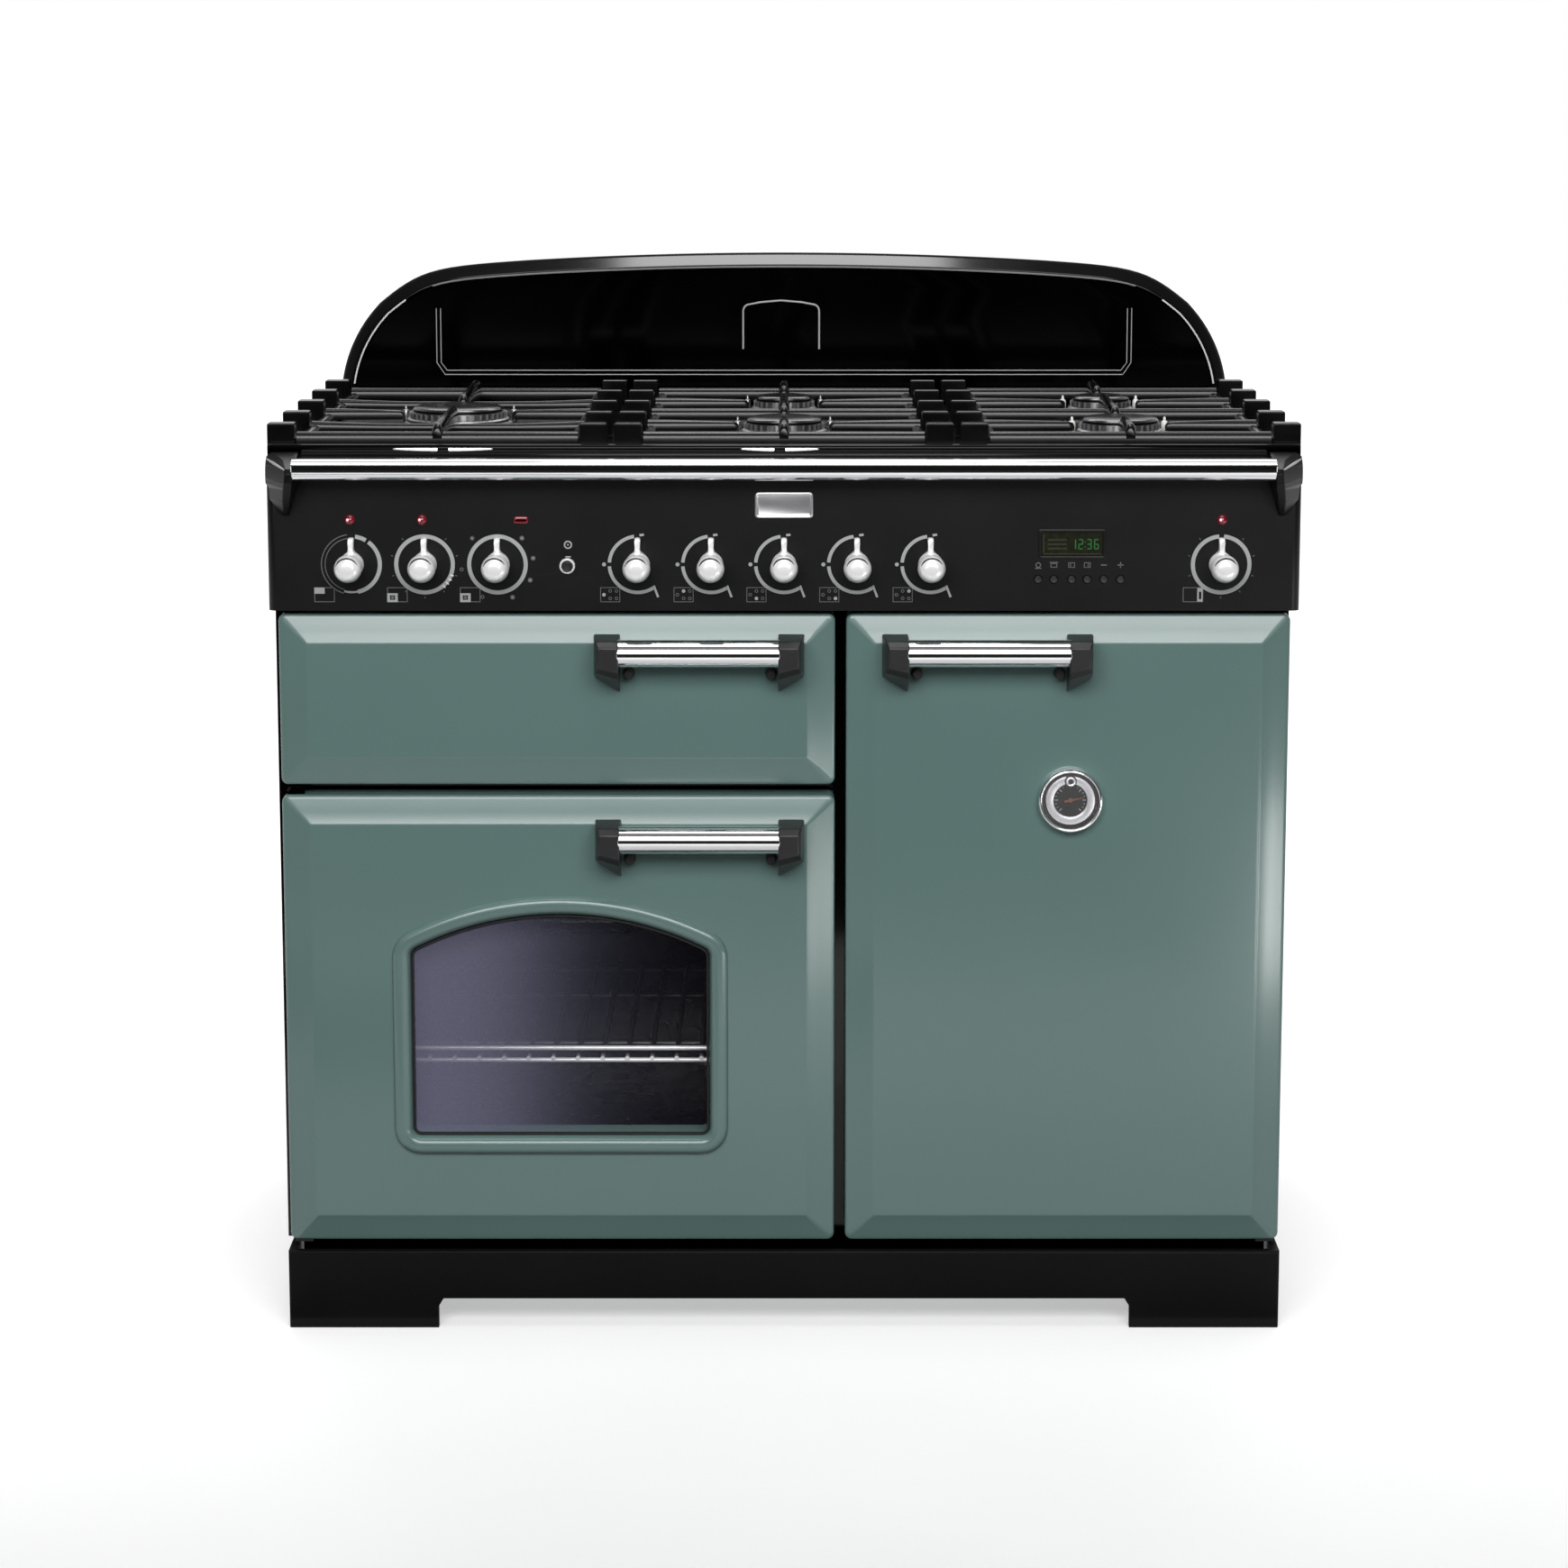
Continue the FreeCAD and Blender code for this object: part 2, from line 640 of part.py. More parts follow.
# Heating elements: a folded grill element and a ring round each fan
bars = []
grill_el_z = dim("grill_element_z", 668)
for i in range(6):
    y = -150 + 44 * i
    bars.append(cyl("X", lm_x0 + 40, y, grill_el_z, 4, lm_x1 - lm_x0 - 80))
for i in range(5):
    x = lm_x1 - 40 if i % 2 == 0 else lm_x0 + 40
    bars.append(cyl("Y", x, -150 + 44 * i, grill_el_z, 4, 44))
    bars.append(ball(x, -150 + 44 * i, grill_el_z, 4))
    bars.append(ball(x, -150 + 44 * (i + 1), grill_el_z, 4))
bars.append(cyl("Y", lm_x0 + 40, -150, grill_el_z, 4, grill_back + 150))
bars.append(ball(lm_x0 + 40, -150, grill_el_z, 4))
rings = []
for x, z in (fan_l, fan_r):
    rings.append(fuse(torus("Y", x, cover_y + 19, z, 78, 4), cyl("Y", x - 78, cover_y + 19, z, 4, oven_back - cover_y - 19),
                      cyl("Y", x + 78, cover_y + 19, z, 4, oven_back - cover_y - 19)))
node("heating_elements", group(fuse(bars), rings))

# Wire shelves on ladder guides at the sides of each oven
wire = dim("wire_r", 2.2)
rod = dim("rod_r", 3)


def shelf(x0, x1, y0, y1, z, n):
    """Cross wires lying on two rods, between side rods, with a raised rail in front."""
    bits = [cyl("X", x0, y0, z, wire + 0.3, x1 - x0), cyl("X", x0, y0 - 6, z + 14, wire + 0.3, x1 - x0),
            cyl("X", x0, y1, z, wire + 0.3, x1 - x0)]
    for y in (-120, 70):
        bits.append(cyl("X", x0 - 10, y, z - 4, rod, x1 - x0 + 20))
    for i in range(n):
        x = x0 + (x1 - x0) * (i + 0.5) / n
        bits.append(cyl("Y", x, y0 - 3.5, z + 2.6, wire, y1 - y0 + 7))
    for x in (x0 + 5, x1 - 5):
        bits.append(cyl("Y", x, y0 - 10, z, rod + 0.8, y1 - y0 + 14))
        bits.append(cyl("Z", x, y0 - 6, z, rod, 18))
    return fuse(bits)


def guide(x, s, z0, z1, levels):
    bits = []
    for y in (-180, 120):
        bits.append(cyl("Z", x, y, z0, rod, z1 - z0))
        for z in (z0 + 12, z1 - 12):
            bits.append(cyl("X" if s > 0 else "-X", x, y, z, rod, 12))
    for z in levels:
        bits.append(cyl("Y", x, -190, z, rod, 320))
    return fuse(bits)


shelf_l = dim("left_shelf_z", 250.2)
racks = [shelf(lm_x0 + 17, lm_x1 - 17, -196, 165, shelf_l, 16),
         shelf(rm_x0 + 17, rm_x1 - 17, -196, 165, 300.2, 12), shelf(rm_x0 + 17, rm_x1 - 17, -196, 165, 500.2, 12)]
racks += [guide(lm_x0 + 12, -1, 160, 470, [240, 330, 420]), guide(lm_x1 - 12, 1, 160, 470, [240, 330, 420]),
          guide(rm_x0 + 12, -1, 160, 650, [290, 390, 490, 590]), guide(rm_x1 - 12, 1, 160, 650, [290, 390, 490, 590])]
node("oven_racks", group(racks))

# Grill pan on runners, with its trivet
pan = cut(box(lm_x0 + 30, lm_x1 - 30, -205, 110, 586, 612), box(lm_x0 + 33, lm_x1 - 33, -202, 107, 589, 613))
runners = [box(lm_x0, lm_x0 + 38, -215, 120, 582, 586), box(lm_x1 - 38, lm_x1, -215, 120, 582, 586)]
bits = [cyl("X", lm_x0 + 40, y, 614, 3, lm_x1 - lm_x0 - 80) for y in (-195, 97)]
bits += [cyl("Y", lm_x0 + 44 + 21.25 * i, -195, 614, 2, 292) for i in range(17)]
bits += [cyl("Z", x, y, 589, 3, 25) for x in (lm_x0 + 60, lm_x1 - 60) for y in (-195, 97)]
node("grill_pan", group(fuse(pan, runners), fuse(bits)))

# Soft seals round the three mouths
def seal(x0, x1, z0, z1):
    y0, y1 = y_frame - 6.5, y_frame
    return fillet(cut(box(x0 - 18, x1 + 18, y0, y1, z0 - 18, z1 + 18), box(x0 - 8, x1 + 8, y0 - 1, y1 + 1, z0 - 8, z1 + 8)),
                  3, lambda p, d: near(p.y, y0))


node("oven_seals", group(seal(lm_x0, lm_x1, m_z0, lm_z1), seal(lm_x0, lm_x1, gm_z0, gm_z1 - 5), seal(rm_x0, rm_x1, m_z0, rm_z1)))


# --------------------------------------------------------------------------
# Doors: a bevelled pressed panel, hollow behind, a flat inner panel with a
# raised middle, and vertical hinge pins at the outer edges
# --------------------------------------------------------------------------
pin_len = dim("hinge_pin_len", 12)


def door_panel(x0, x1, z0, z1, hx):
    outer = fuse(frustum(x0 + bevel_w, x1 - bevel_w, z0 + bevel_w, z1 - bevel_w, y_front,
                         x0, x1, z0, z1, y_front + bevel_d),
                 box(x0, x1, y_front + bevel_d, door_back, z0, z1))
    w = door_wall
    void = fuse(frustum(x0 + bevel_w, x1 - bevel_w, z0 + bevel_w, z1 - bevel_w, y_front + w,
                        x0 + w, x1 - w, z0 + w, z1 - w, y_front + bevel_d + w),
                box(x0 + w, x1 - w, y_front + bevel_d + w, door_back + 1, z0 + w, z1 - w))
    bosses = [cyl("Z", hx, hinge_y, z0, 9, 18), cyl("Z", hx, hinge_y, z1 - 18, 9, 18)]
    holes = [cyl("Z", hx, hinge_y, z0 - 1, pin_r + run, pin_len + 3),
             cyl("Z", hx, hinge_y, z1 - pin_len - 2, pin_r + run, pin_len + 3)]
    return fuse(cut(outer, void), bosses), holes


def door_liner(x0, x1, z0, z1, inset, dished=True):
    """Inner door panel with a raised middle, which is hollow behind where it is dished."""
    plate = fuse(box(x0 + 1.5, x1 - 1.5, door_back, door_back + 3, z0 + 1.5, z1 - 1.5),
                 box(x0 + inset, x1 - inset, door_back + 3, door_back + 8, z0 + inset, z1 - inset))
    if not dished:
        return plate
    return cut(plate, box(x0 + inset + 2, x1 - inset - 2, door_back - 1, door_back + 6, z0 + inset + 2, z1 - inset - 2))


def handle(x0, x1, z):
    """Round bar between two corbel ends."""
    bar = cyl("X", x0, y_rail + bar_r, z, bar_r, x1 - x0)
    ends = []
    for a in (x0 - 25, x1):
        b = body()
        sk = sketch(b, "YZ", [[(y_rail, z - 12), (y_rail, z + 9), (y_rail + 5, z + 14), (y_front, z + 14),
                               (y_front, z - 43), (y_front - 7, z - 43), (y_rail + 10, z - 30)]], a)
        pad(b, sk, 25)
        ends.append(b)
    return bar, group(ends)


grip_z = dim("grip_z", 683)
oven_grip_z = dim("oven_grip_z", 501)
grip_l = (dim("left_grip_x0", -158), dim("left_grip_x1", -5.5))
grip_r = (dim("right_grip_x0", 119.5), dim("right_grip_x1", 272.5))

panel, holes = door_panel(left_x0, left_x1, grill_z0, grill_z1, hinge_lx)
node("grill_door_panel", cut(panel, holes))
node("grill_door_liner", door_liner(left_x0, left_x1, grill_z0, grill_z1, 48))
bar, ends = handle(grip_l[0], grip_l[1], grip_z)
node("grill_handle_bar", bar)
node("grill_handle_ends", ends)

# Left oven door, with an arched window in a raised moulding
win_x0, win_x1 = dim("window_x0", -364), dim("window_x1", -73)
win_z0, win_z1 = dim("window_z0", 198), dim("window_spring_z", 384)
win_top = dim("window_top", 420)
win_c = (win_x0 + win_x1) / 2


def arch(grow, rise, y0, y1):
    """Solid with the window's arched outline, grown on all sides, from y0 to y1."""
    b = body()
    sk = sketch(b, "XZ", [[(win_x0 - grow, win_z0 - grow), (win_x1 + grow, win_z0 - grow),
                           (win_x1 + grow, win_z1 + rise, (win_c, win_top + grow)), (win_x0 - grow, win_z1 + rise)]], -y1)
    pad(b, sk, y1 - y0)
    return b


panel, holes = door_panel(left_x0, left_x1, oven_z0, oven_z1, hinge_lx)
mould = fillet(arch(18, 14, y_front - 7, y_front + 1), 5, lambda p, d: near(p.y, y_front - 7))
node("left_oven_door_panel", cut(fuse(panel, mould), holes, arch(0, 0, y_front - 20, y_front + 4)))
pane = box(win_x0 - 16, win_x1 + 16, door_back, door_back + 10, win_z0 - 12, win_top - 4)
node("left_oven_door_liner", cut(door_liner(left_x0, left_x1, oven_z0, oven_z1, 62, False),
     box(win_x0 - 16, win_x1 + 16, door_back - 1, door_back + 10, win_z0 - 12, win_top + 6)))
node("left_oven_door_glass", group(
    arch(8, 6, y_front + door_wall, y_front + door_wall + 4),
    box(win_x0 - 24, win_x1 + 24, door_back - 4, door_back, win_z0 - 20, win_top + 14)))
bar, ends = handle(grip_l[0], grip_l[1], oven_grip_z)
node("left_oven_handle_bar", bar)
node("left_oven_handle_ends", ends)

# Right oven door, with a thermometer whose probe reaches the oven
dial_x, dial_z = dim("dial_x", 277), dim("dial_z", 535)
probe_r = dim("probe_r", 4)
panel, holes = door_panel(right_x0, right_x1, oven_z0, grill_z1, hinge_rx)
node("right_oven_door_panel", cut(panel, holes, cyl("Y", dial_x, y_front - 1, dial_z, probe_r + 0.5, 6)))
node("right_oven_door_liner", cut(door_liner(right_x0, right_x1, oven_z0, grill_z1, 66),
     cyl("Y", dial_x, door_back - 1, dial_z, probe_r + 0.5, 12)))
bar, ends = handle(grip_r[0], grip_r[1], grip_z)
node("right_oven_handle_bar", bar)
node("right_oven_handle_ends", ends)

bezel = fillet(cyl("Y", dial_x, y_front - 13, dial_z, 31.5, 13), 4, lambda p, d: near(p.y, y_front - 13))
case = fuse(cut(bezel, cyl("Y", dial_x, y_front - 14, dial_z, 25, 10)),
            cyl("Y", dial_x, y_front - 9, dial_z, 0.75, 8),
            cyl("Y", dial_x, y_front - 4, dial_z, probe_r, 47))
node("thermometer_case", case)
hand = box(dial_x - 0.9, dial_x + 0.9, y_front - 7.6, y_front - 6.6, dial_z - 6, dial_z + 13)
needle_turn = radians(78)
place(hand, dial_x - 0.9 * cos(needle_turn) - 6 * sin(needle_turn), y_front - 7.6,
      dial_z + 0.9 * sin(needle_turn) - 6 * cos(needle_turn), FreeCAD.Rotation(V(0, 1, 0), 78))
needle = fuse(cyl("Y", dial_x, y_front - 8, dial_z, 2.4, 2), hand)
node("thermometer_needle", cut(needle, cyl("Y", dial_x, y_front - 10, dial_z, 0.75 + run, 8)))

# Hinge brackets: a tongue in the gap above or below the door, a flange on the
# frame and the pin
hinges = []
for hx, z0, z1 in ((hinge_lx, grill_z0, grill_z1), (hinge_lx, oven_z0, oven_z1), (hinge_rx, oven_z0, grill_z1)):
    for top in (True, False):
        p0, p1 = (z1 + 0.8, z1 + 3.3) if top else (z0 - 3.3, z0 - 0.8)
        f0, f1 = (z1 - 28, z1 + 3.3) if top else (z0 - 3.3, z0 + 28)
        q = z1 - pin_len if top else z0 - 0.8
        hinges.append(fuse(
            box(hx - 9, hx + 9, hinge_y - 8, y_frame, p0, p1),
            box(hx - 9, hx + 9, y_frame - 2.5, y_frame, f0, f1),
            cyl("Z", hx, hinge_y, q, pin_r, pin_len + 0.8)))
node("door_hinges", group(hinges))


# --------------------------------------------------------------------------
# Controls
# --------------------------------------------------------------------------
bulb_r = dim("knob_bulb_r", 13.3)
neck_r = dim("knob_neck_r", 8.5)
skirt_r = dim("knob_skirt_r", 12)
pointer = dim("knob_pointer", 26)
bulb_y = y_rail + bulb_r
for name, x in zip(knob_names, knob_x):
    b = body()
    back_y = y_front - 0.5
    join = bulb_y + sqrt(val(bulb_r) ** 2 - val(neck_r) ** 2)
    sk = sketch(b, "XY", [[
        (spindle_r + run, back_y), (skirt_r, back_y), (skirt_r, back_y - 5), (neck_r, back_y - 11),
        (neck_r, join, (bulb_r, bulb_y)), (0, y_rail), (0, spindle_end - 0.5),
        (spindle_r + run, spindle_end - 0.5)]])
    turn = b.newObject("PartDesign::Revolution", "rev%04d" % made[0])
    turn.Profile = sk
    turn.ReferenceAxis = (sk, ["V_Axis"])
    turn.Angle = 360
    sk = sketch(b, "XZ", [[(-4, 6), (4, 6), (4, pointer - 2), (2, pointer), (-2, pointer), (-4, pointer - 2)]], -back_y)
    pad(b, sk, 8)
    place(b, x, 0, knob_z)
    node(name, b)

node("light_button", fillet(cyl("Y", button_x, y_front - 7, button_z, button_r, 22), 1.5,
                            lambda p, d: near(p.y, y_front - 7)))
for i, x in enumerate(key_x):
    node("timer_key_%d" % (i + 1), fillet(cyl("Y", x, y_front - 1.6, key_z, key_r, 8), 0.8,
                                          lambda p, d: near(p.y, y_front - 1.6)))

# Gas rail across the back of the control panel, its taps, the burner feeds and
# the inlet at the rear
pipe = dim("gas_pipe_r", 8)
feed = dim("gas_feed_r", 4)
rail_gy = dim("gas_rail_y", -212)
bits = [cyl("X", -160, rail_gy, knob_z, pipe, 615), ball(gas_x, rail_gy, knob_z, pipe),
        cyl("Y", gas_x, rail_gy, knob_z, pipe, y_back - 30 - rail_gy)]
feeds = [(3, "left", 812, -240), (4, "centre_rear", 808, -240), (5, "centre_front", 822, -258),
         (6, "right_front", 822, -240), (7, "right_rear", 808, -240)]
for k, which, level, y in feeds:
    x = knob_x[k]
    bx, by = burners[which][0], burners[which][1]
    bits.append(cyl("Y", x, y_front + 12, knob_z, 12, 66))
    bits.append(cyl("Y", x, spindle_end, knob_z, spindle_r, y_front + 20 - spindle_end))
    bits.append(cyl("Z", x, y, knob_z, feed, level - knob_z))
    bits.append(ball(x, y, level, feed))
    if bx != x:
        bits.append(cyl("X" if bx > x else "-X", x, y, level, feed, abs(bx - x)))
        bits.append(ball(bx, y, level, feed))
    bits.append(cyl("Y", bx, y, level, feed, by - y))
    bits.append(ball(bx, by, level, feed))
    bits.append(cyl("Z", bx, by, level, feed, 836 - level))
inlet = cut(cyl("Y", gas_x, y_back - 34, gas_z, 15, 34), cyl("Y", gas_x, y_back - 18, gas_z, gas_r, 20))
node("gas_rail_and_taps", fuse(bits, inlet))

units = []
for k in (0, 1, 2, 8):
    x = knob_x[k]
    units.append(fuse(box(x - 17, x + 17, y_front + 12, y_front + 42, knob_z - 17, knob_z + 17),
                      cyl("Y", x, spindle_end, knob_z, spindle_r, y_front + 20 - spindle_end)))
units.append(fuse(box(238, 330, y_front + 10, y_front + 40, 741, 800),
                  box(disp[0] + 0.2, disp[1] - 0.2, y_front + 1.5, y_front + 12, disp[2] + 0.2, disp[3] - 0.2)))
units.append(box(button_x - 8, button_x + 8, y_front + 20, y_front + 38, button_z - 8, button_z + 8))
for x, z in (fan_l, fan_r):
    units.append(cut(cyl("Y", x, oven_back + skin, z, 38, 52), cyl("Y", x, oven_back, z, shaft_r + run, 30)))
units.append(box(-470, -400, 268, 304, 740, 792))
node("electrical_units", group(units))

# --------------------------------------------------------------------------
# Check and write
# --------------------------------------------------------------------------
doc.recompute()
bad = [o.Name + " " + o.TypeId for o in doc.Objects if "Invalid" in o.State or "Error" in o.State]
for name, o in nodes:
    if o.Shape.isNull() or not o.Shape.isValid() or not o.Shape.Solids:
        bad.append(name)
if bad:
    raise RuntimeError("failed: " + ", ".join(bad))
names = [n for n, o in nodes]
assert len(set(names)) == len(names) and len(names) <= 60

os.makedirs("parts", exist_ok=True)
for name, o in nodes:
    o.Shape.exportStep("parts/%s.step" % name)
print(len(nodes), "parts written")
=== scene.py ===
import bpy, bmesh
from math import sin, cos, pi, radians, sqrt, atan2, hypot
from mathutils import Vector, Matrix


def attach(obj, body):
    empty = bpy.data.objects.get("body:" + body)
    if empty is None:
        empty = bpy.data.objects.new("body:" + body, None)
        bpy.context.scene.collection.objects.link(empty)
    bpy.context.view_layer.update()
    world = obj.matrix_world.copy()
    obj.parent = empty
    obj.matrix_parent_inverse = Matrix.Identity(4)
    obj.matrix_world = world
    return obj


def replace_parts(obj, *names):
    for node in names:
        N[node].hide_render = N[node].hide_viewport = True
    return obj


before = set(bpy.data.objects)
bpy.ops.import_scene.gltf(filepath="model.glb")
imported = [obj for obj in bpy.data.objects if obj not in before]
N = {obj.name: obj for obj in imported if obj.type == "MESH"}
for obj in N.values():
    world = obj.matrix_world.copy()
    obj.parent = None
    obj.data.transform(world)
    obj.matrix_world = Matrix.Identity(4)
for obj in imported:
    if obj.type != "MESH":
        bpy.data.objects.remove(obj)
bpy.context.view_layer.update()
scene = bpy.context.scene

# --------------------------------------------------------------------------
# Materials
# --------------------------------------------------------------------------
def shader(name, color, rough=0.4, metal=0.0, coat=0.0, coat_rough=0.05, spec=0.5):
    m = bpy.data.materials.new(name)
    m.use_nodes = True
    b = m.node_tree.nodes["Principled BSDF"]
    b.inputs["Base Color"].default_value = (*color, 1)
    b.inputs["Roughness"].default_value = rough
    b.inputs["Metallic"].default_value = metal
    b.inputs["Coat Weight"].default_value = coat
    b.inputs["Coat Roughness"].default_value = coat_rough
    b.inputs["Specular IOR Level"].default_value = spec
    return m, m.node_tree, b


def noise(nt, scale, detail=3.0, rough=0.5, stretch=(1, 1, 1)):
    t = nt.nodes.new("ShaderNodeTexCoord")
    mp = nt.nodes.new("ShaderNodeMapping")
    mp.inputs["Scale"].default_value = stretch
    n = nt.nodes.new("ShaderNodeTexNoise")
    n.inputs["Scale"].default_value = scale
    n.inputs["Detail"].default_value = detail
    n.inputs["Roughness"].default_value = rough
    nt.links.new(t.outputs["Object"], mp.inputs["Vector"])
    nt.links.new(mp.outputs["Vector"], n.inputs["Vector"])
    return n


def ramp(nt, src, stops):
    r = nt.nodes.new("ShaderNodeValToRGB")
    e = r.color_ramp.elements
    while len(e) < len(stops):
        e.new(0.5)
    for i, (p, c) in enumerate(stops):
        e[i].position = p
        e[i].color = (*c, 1) if isinstance(c, tuple) else (c, c, c, 1)
    nt.links.new(src, r.inputs["Fac"])
    return r


def bump(nt, bsdf, src, strength, dist):
    b = nt.nodes.new("ShaderNodeBump")
    b.inputs["Strength"].default_value = strength
    b.inputs["Distance"].default_value = dist
    nt.links.new(src, b.inputs["Height"])
    nt.links.new(b.outputs["Normal"], bsdf.inputs["Normal"])
    return b


def varied(name, color, amount, scale, rough, rough_amp, metal=0.0, coat=0.0, coat_rough=0.05, bump_s=0.0,
           bump_d=0.0002, bump_scale=None, stretch=(1, 1, 1), spec=0.5):
    """Base colour and roughness that wander a little, and a fine surface texture."""
    m, nt, b = shader(name, color, rough, metal, coat, coat_rough, spec)
    n = noise(nt, scale, 4.0, 0.55, stretch)
    lo = tuple(max(0.0, c * (1 - amount)) for c in color)
    hi = tuple(min(1.0, c * (1 + amount)) for c in color)
    c = ramp(nt, n.outputs["Fac"], [(0.1, lo), (0.9, hi)])
    nt.links.new(c.outputs["Color"], b.inputs["Base Color"])
    r = ramp(nt, n.outputs["Fac"], [(0.1, max(0.0, rough - rough_amp)), (0.9, min(1.0, rough + rough_amp))])
    nt.links.new(r.outputs["Color"], b.inputs["Roughness"])
    if bump_s:
        f = noise(nt, bump_scale or scale * 8, 3.0, 0.6, stretch)
        bump(nt, b, f.outputs["Fac"], bump_s, bump_d)
    return m


M = {}
M["green"] = varied("green_enamel", (0.124, 0.205, 0.191), 0.025, 6.0, 0.21, 0.03, coat=0.20, coat_rough=0.14,
                    bump_s=0.05, bump_d=0.0003, bump_scale=260, spec=0.48)
M["gloss_black"] = varied("black_enamel", (0.0004, 0.0004, 0.00045), 0.2, 9.0, 0.08, 0.02,
                          bump_s=0.02, bump_d=0.0002, bump_scale=300, spec=0.32)
M["deep_black"] = varied("deep_black_enamel", (0.0004, 0.0004, 0.00045), 0.2, 9.0, 0.12, 0.03, bump_s=0.02, bump_d=0.0002,
                         bump_scale=300, spec=0.05)
M["rim_black"] = varied("rim_black_enamel", (0.0004, 0.0004, 0.00045), 0.2, 9.0, 0.12, 0.03, bump_s=0.02, bump_d=0.0002,
                        bump_scale=300, spec=0.30)
# Light grey strips laid along edges: painted highlights, not the black enamel's colour
M["edge_mid"] = varied("painted_highlight_mid", (0.17, 0.17, 0.17), 0.15, 60.0, 0.30, 0.05, spec=0.5)
M["edge_light"] = varied("painted_highlight_light", (0.40, 0.40, 0.40), 0.15, 60.0, 0.30, 0.05, spec=0.5)
M["ridge"] = varied("ridge_painted_highlight", (0.36, 0.36, 0.36), 0.15, 90.0, 0.30, 0.05, spec=0.5)
M["edge_bright"] = varied("painted_highlight_bright", (0.70, 0.70, 0.70), 0.15, 60.0, 0.30, 0.05, spec=0.5)
M["panel"] = varied("charcoal_panel", (0.0036, 0.0036, 0.0037), 0.12, 14.0, 0.38, 0.04, bump_s=0.06, bump_d=0.00015,
                    bump_scale=900, spec=0.22)
M["plinth"] = varied("plinth_black", (0.0066, 0.0066, 0.0067), 0.15, 10.0, 0.36, 0.05, bump_s=0.05, bump_d=0.0002,
                     bump_scale=700, spec=0.07)
M["bracket"] = varied("bracket_anthracite", (0.017, 0.0165, 0.0172), 0.15, 40.0, 0.40, 0.05, bump_s=0.12, bump_d=0.0002,
                      bump_scale=900, spec=0.35)
M["rail_bracket"] = varied("rail_bracket_black", (0.0045, 0.0045, 0.0047), 0.15, 40.0, 0.32, 0.05, bump_s=0.10,
                           bump_d=0.0002, bump_scale=900, spec=0.11)
M["chrome"] = varied("chrome", (0.82, 0.82, 0.83), 0.03, 20.0, 0.055, 0.02, metal=1.0)
M["knob_chrome"] = varied("knob_chrome", (0.96, 0.96, 0.96), 0.02, 60.0, 0.24, 0.04, metal=0.20)
M["satin_silver"] = varied("satin_silver", (0.70, 0.70, 0.72), 0.03, 50.0, 0.30, 0.04, metal=1.0)
M["cast"] = varied("cast_iron_enamel", (0.0008, 0.0008, 0.0009), 0.25, 30.0, 0.19, 0.04,
                   bump_s=0.05, bump_d=0.0003, bump_scale=700, spec=0.34)
M["cap"] = varied("burner_cap_enamel", (0.0035, 0.0035, 0.0036), 0.2, 30.0, 0.20, 0.05, bump_s=0.06, bump_d=0.0003,
                  bump_scale=600, spec=0.7)
M["alloy"] = varied("burner_alloy", (0.30, 0.30, 0.30), 0.08, 40.0, 0.34, 0.06, metal=1.0, bump_s=0.15, bump_d=0.0002,
                    bump_scale=900)
M["ceramic"] = varied("white_ceramic", (0.80, 0.79, 0.76), 0.03, 80.0, 0.30, 0.04)
M["zinc"] = varied("zinc_sheet", (0.44, 0.45, 0.46), 0.14, 26.0, 0.38, 0.08, metal=1.0, bump_s=0.03, bump_d=0.0002)
M["steel"] = varied("plain_steel", (0.50, 0.50, 0.51), 0.06, 60.0, 0.28, 0.05, metal=1.0, stretch=(1, 1, 12))


def shelf_wire_painted_shade():
    """Bright plated front rails; the wires behind them are painted dark as painted shade, since the light through the
    window falls only on the front.
    """
    m, nt, b = shader("plated_wire_painted_shade", (0.8, 0.8, 0.82), 0.34, metal=0.35)
    t = nt.nodes.new("ShaderNodeTexCoord")
    s = nt.nodes.new("ShaderNodeSeparateXYZ")
    nt.links.new(t.outputs["Object"], s.inputs["Vector"])
    mr = nt.nodes.new("ShaderNodeMapRange")
    mr.inputs["From Min"].default_value = -0.2005
    mr.inputs["From Max"].default_value = -0.1850
    nt.links.new(s.outputs["Y"], mr.inputs["Value"])
    # painted shade: the colour falls from bright at the front rails to near black on the wires behind
    c = ramp(nt, mr.outputs["Result"], [(0.0, (0.80, 0.80, 0.82)), (0.45, (0.70, 0.70, 0.72)), (1.0, (0.045, 0.043, 0.042))])
    nt.links.new(c.outputs["Color"], b.inputs["Base Color"])
    n = noise(nt, 80, 3)
    r = ramp(nt, n.outputs["Fac"], [(0.1, 0.28), (0.9, 0.42)])
    nt.links.new(r.outputs["Color"], b.inputs["Roughness"])
    return m


M["wire"] = shelf_wire_painted_shade()
M["seal"] = varied("soft_seal", (0.004, 0.004, 0.004), 0.2, 90.0, 0.75, 0.08, bump_s=0.3, bump_d=0.0004, bump_scale=900)
M["plastic"] = varied("black_plastic", (0.006, 0.006, 0.0065), 0.12, 50.0, 0.42, 0.05, bump_s=0.08, bump_d=0.0001,
                      bump_scale=1500)
M["brass"] = varied("tap_brass", (0.55, 0.40, 0.17), 0.1, 50.0, 0.30, 0.06, metal=1.0)
M["needle"] = varied("needle_orange", (0.17, 0.060, 0.018), 0.05, 200.0, 0.40, 0.03)
M["print"] = varied("print_grey", (0.36, 0.37, 0.37), 0.08, 500.0, 0.5, 0.05)
M["print_dim"] = varied("print_dim", (0.12, 0.12, 0.12), 0.10, 500.0, 0.5, 0.05)


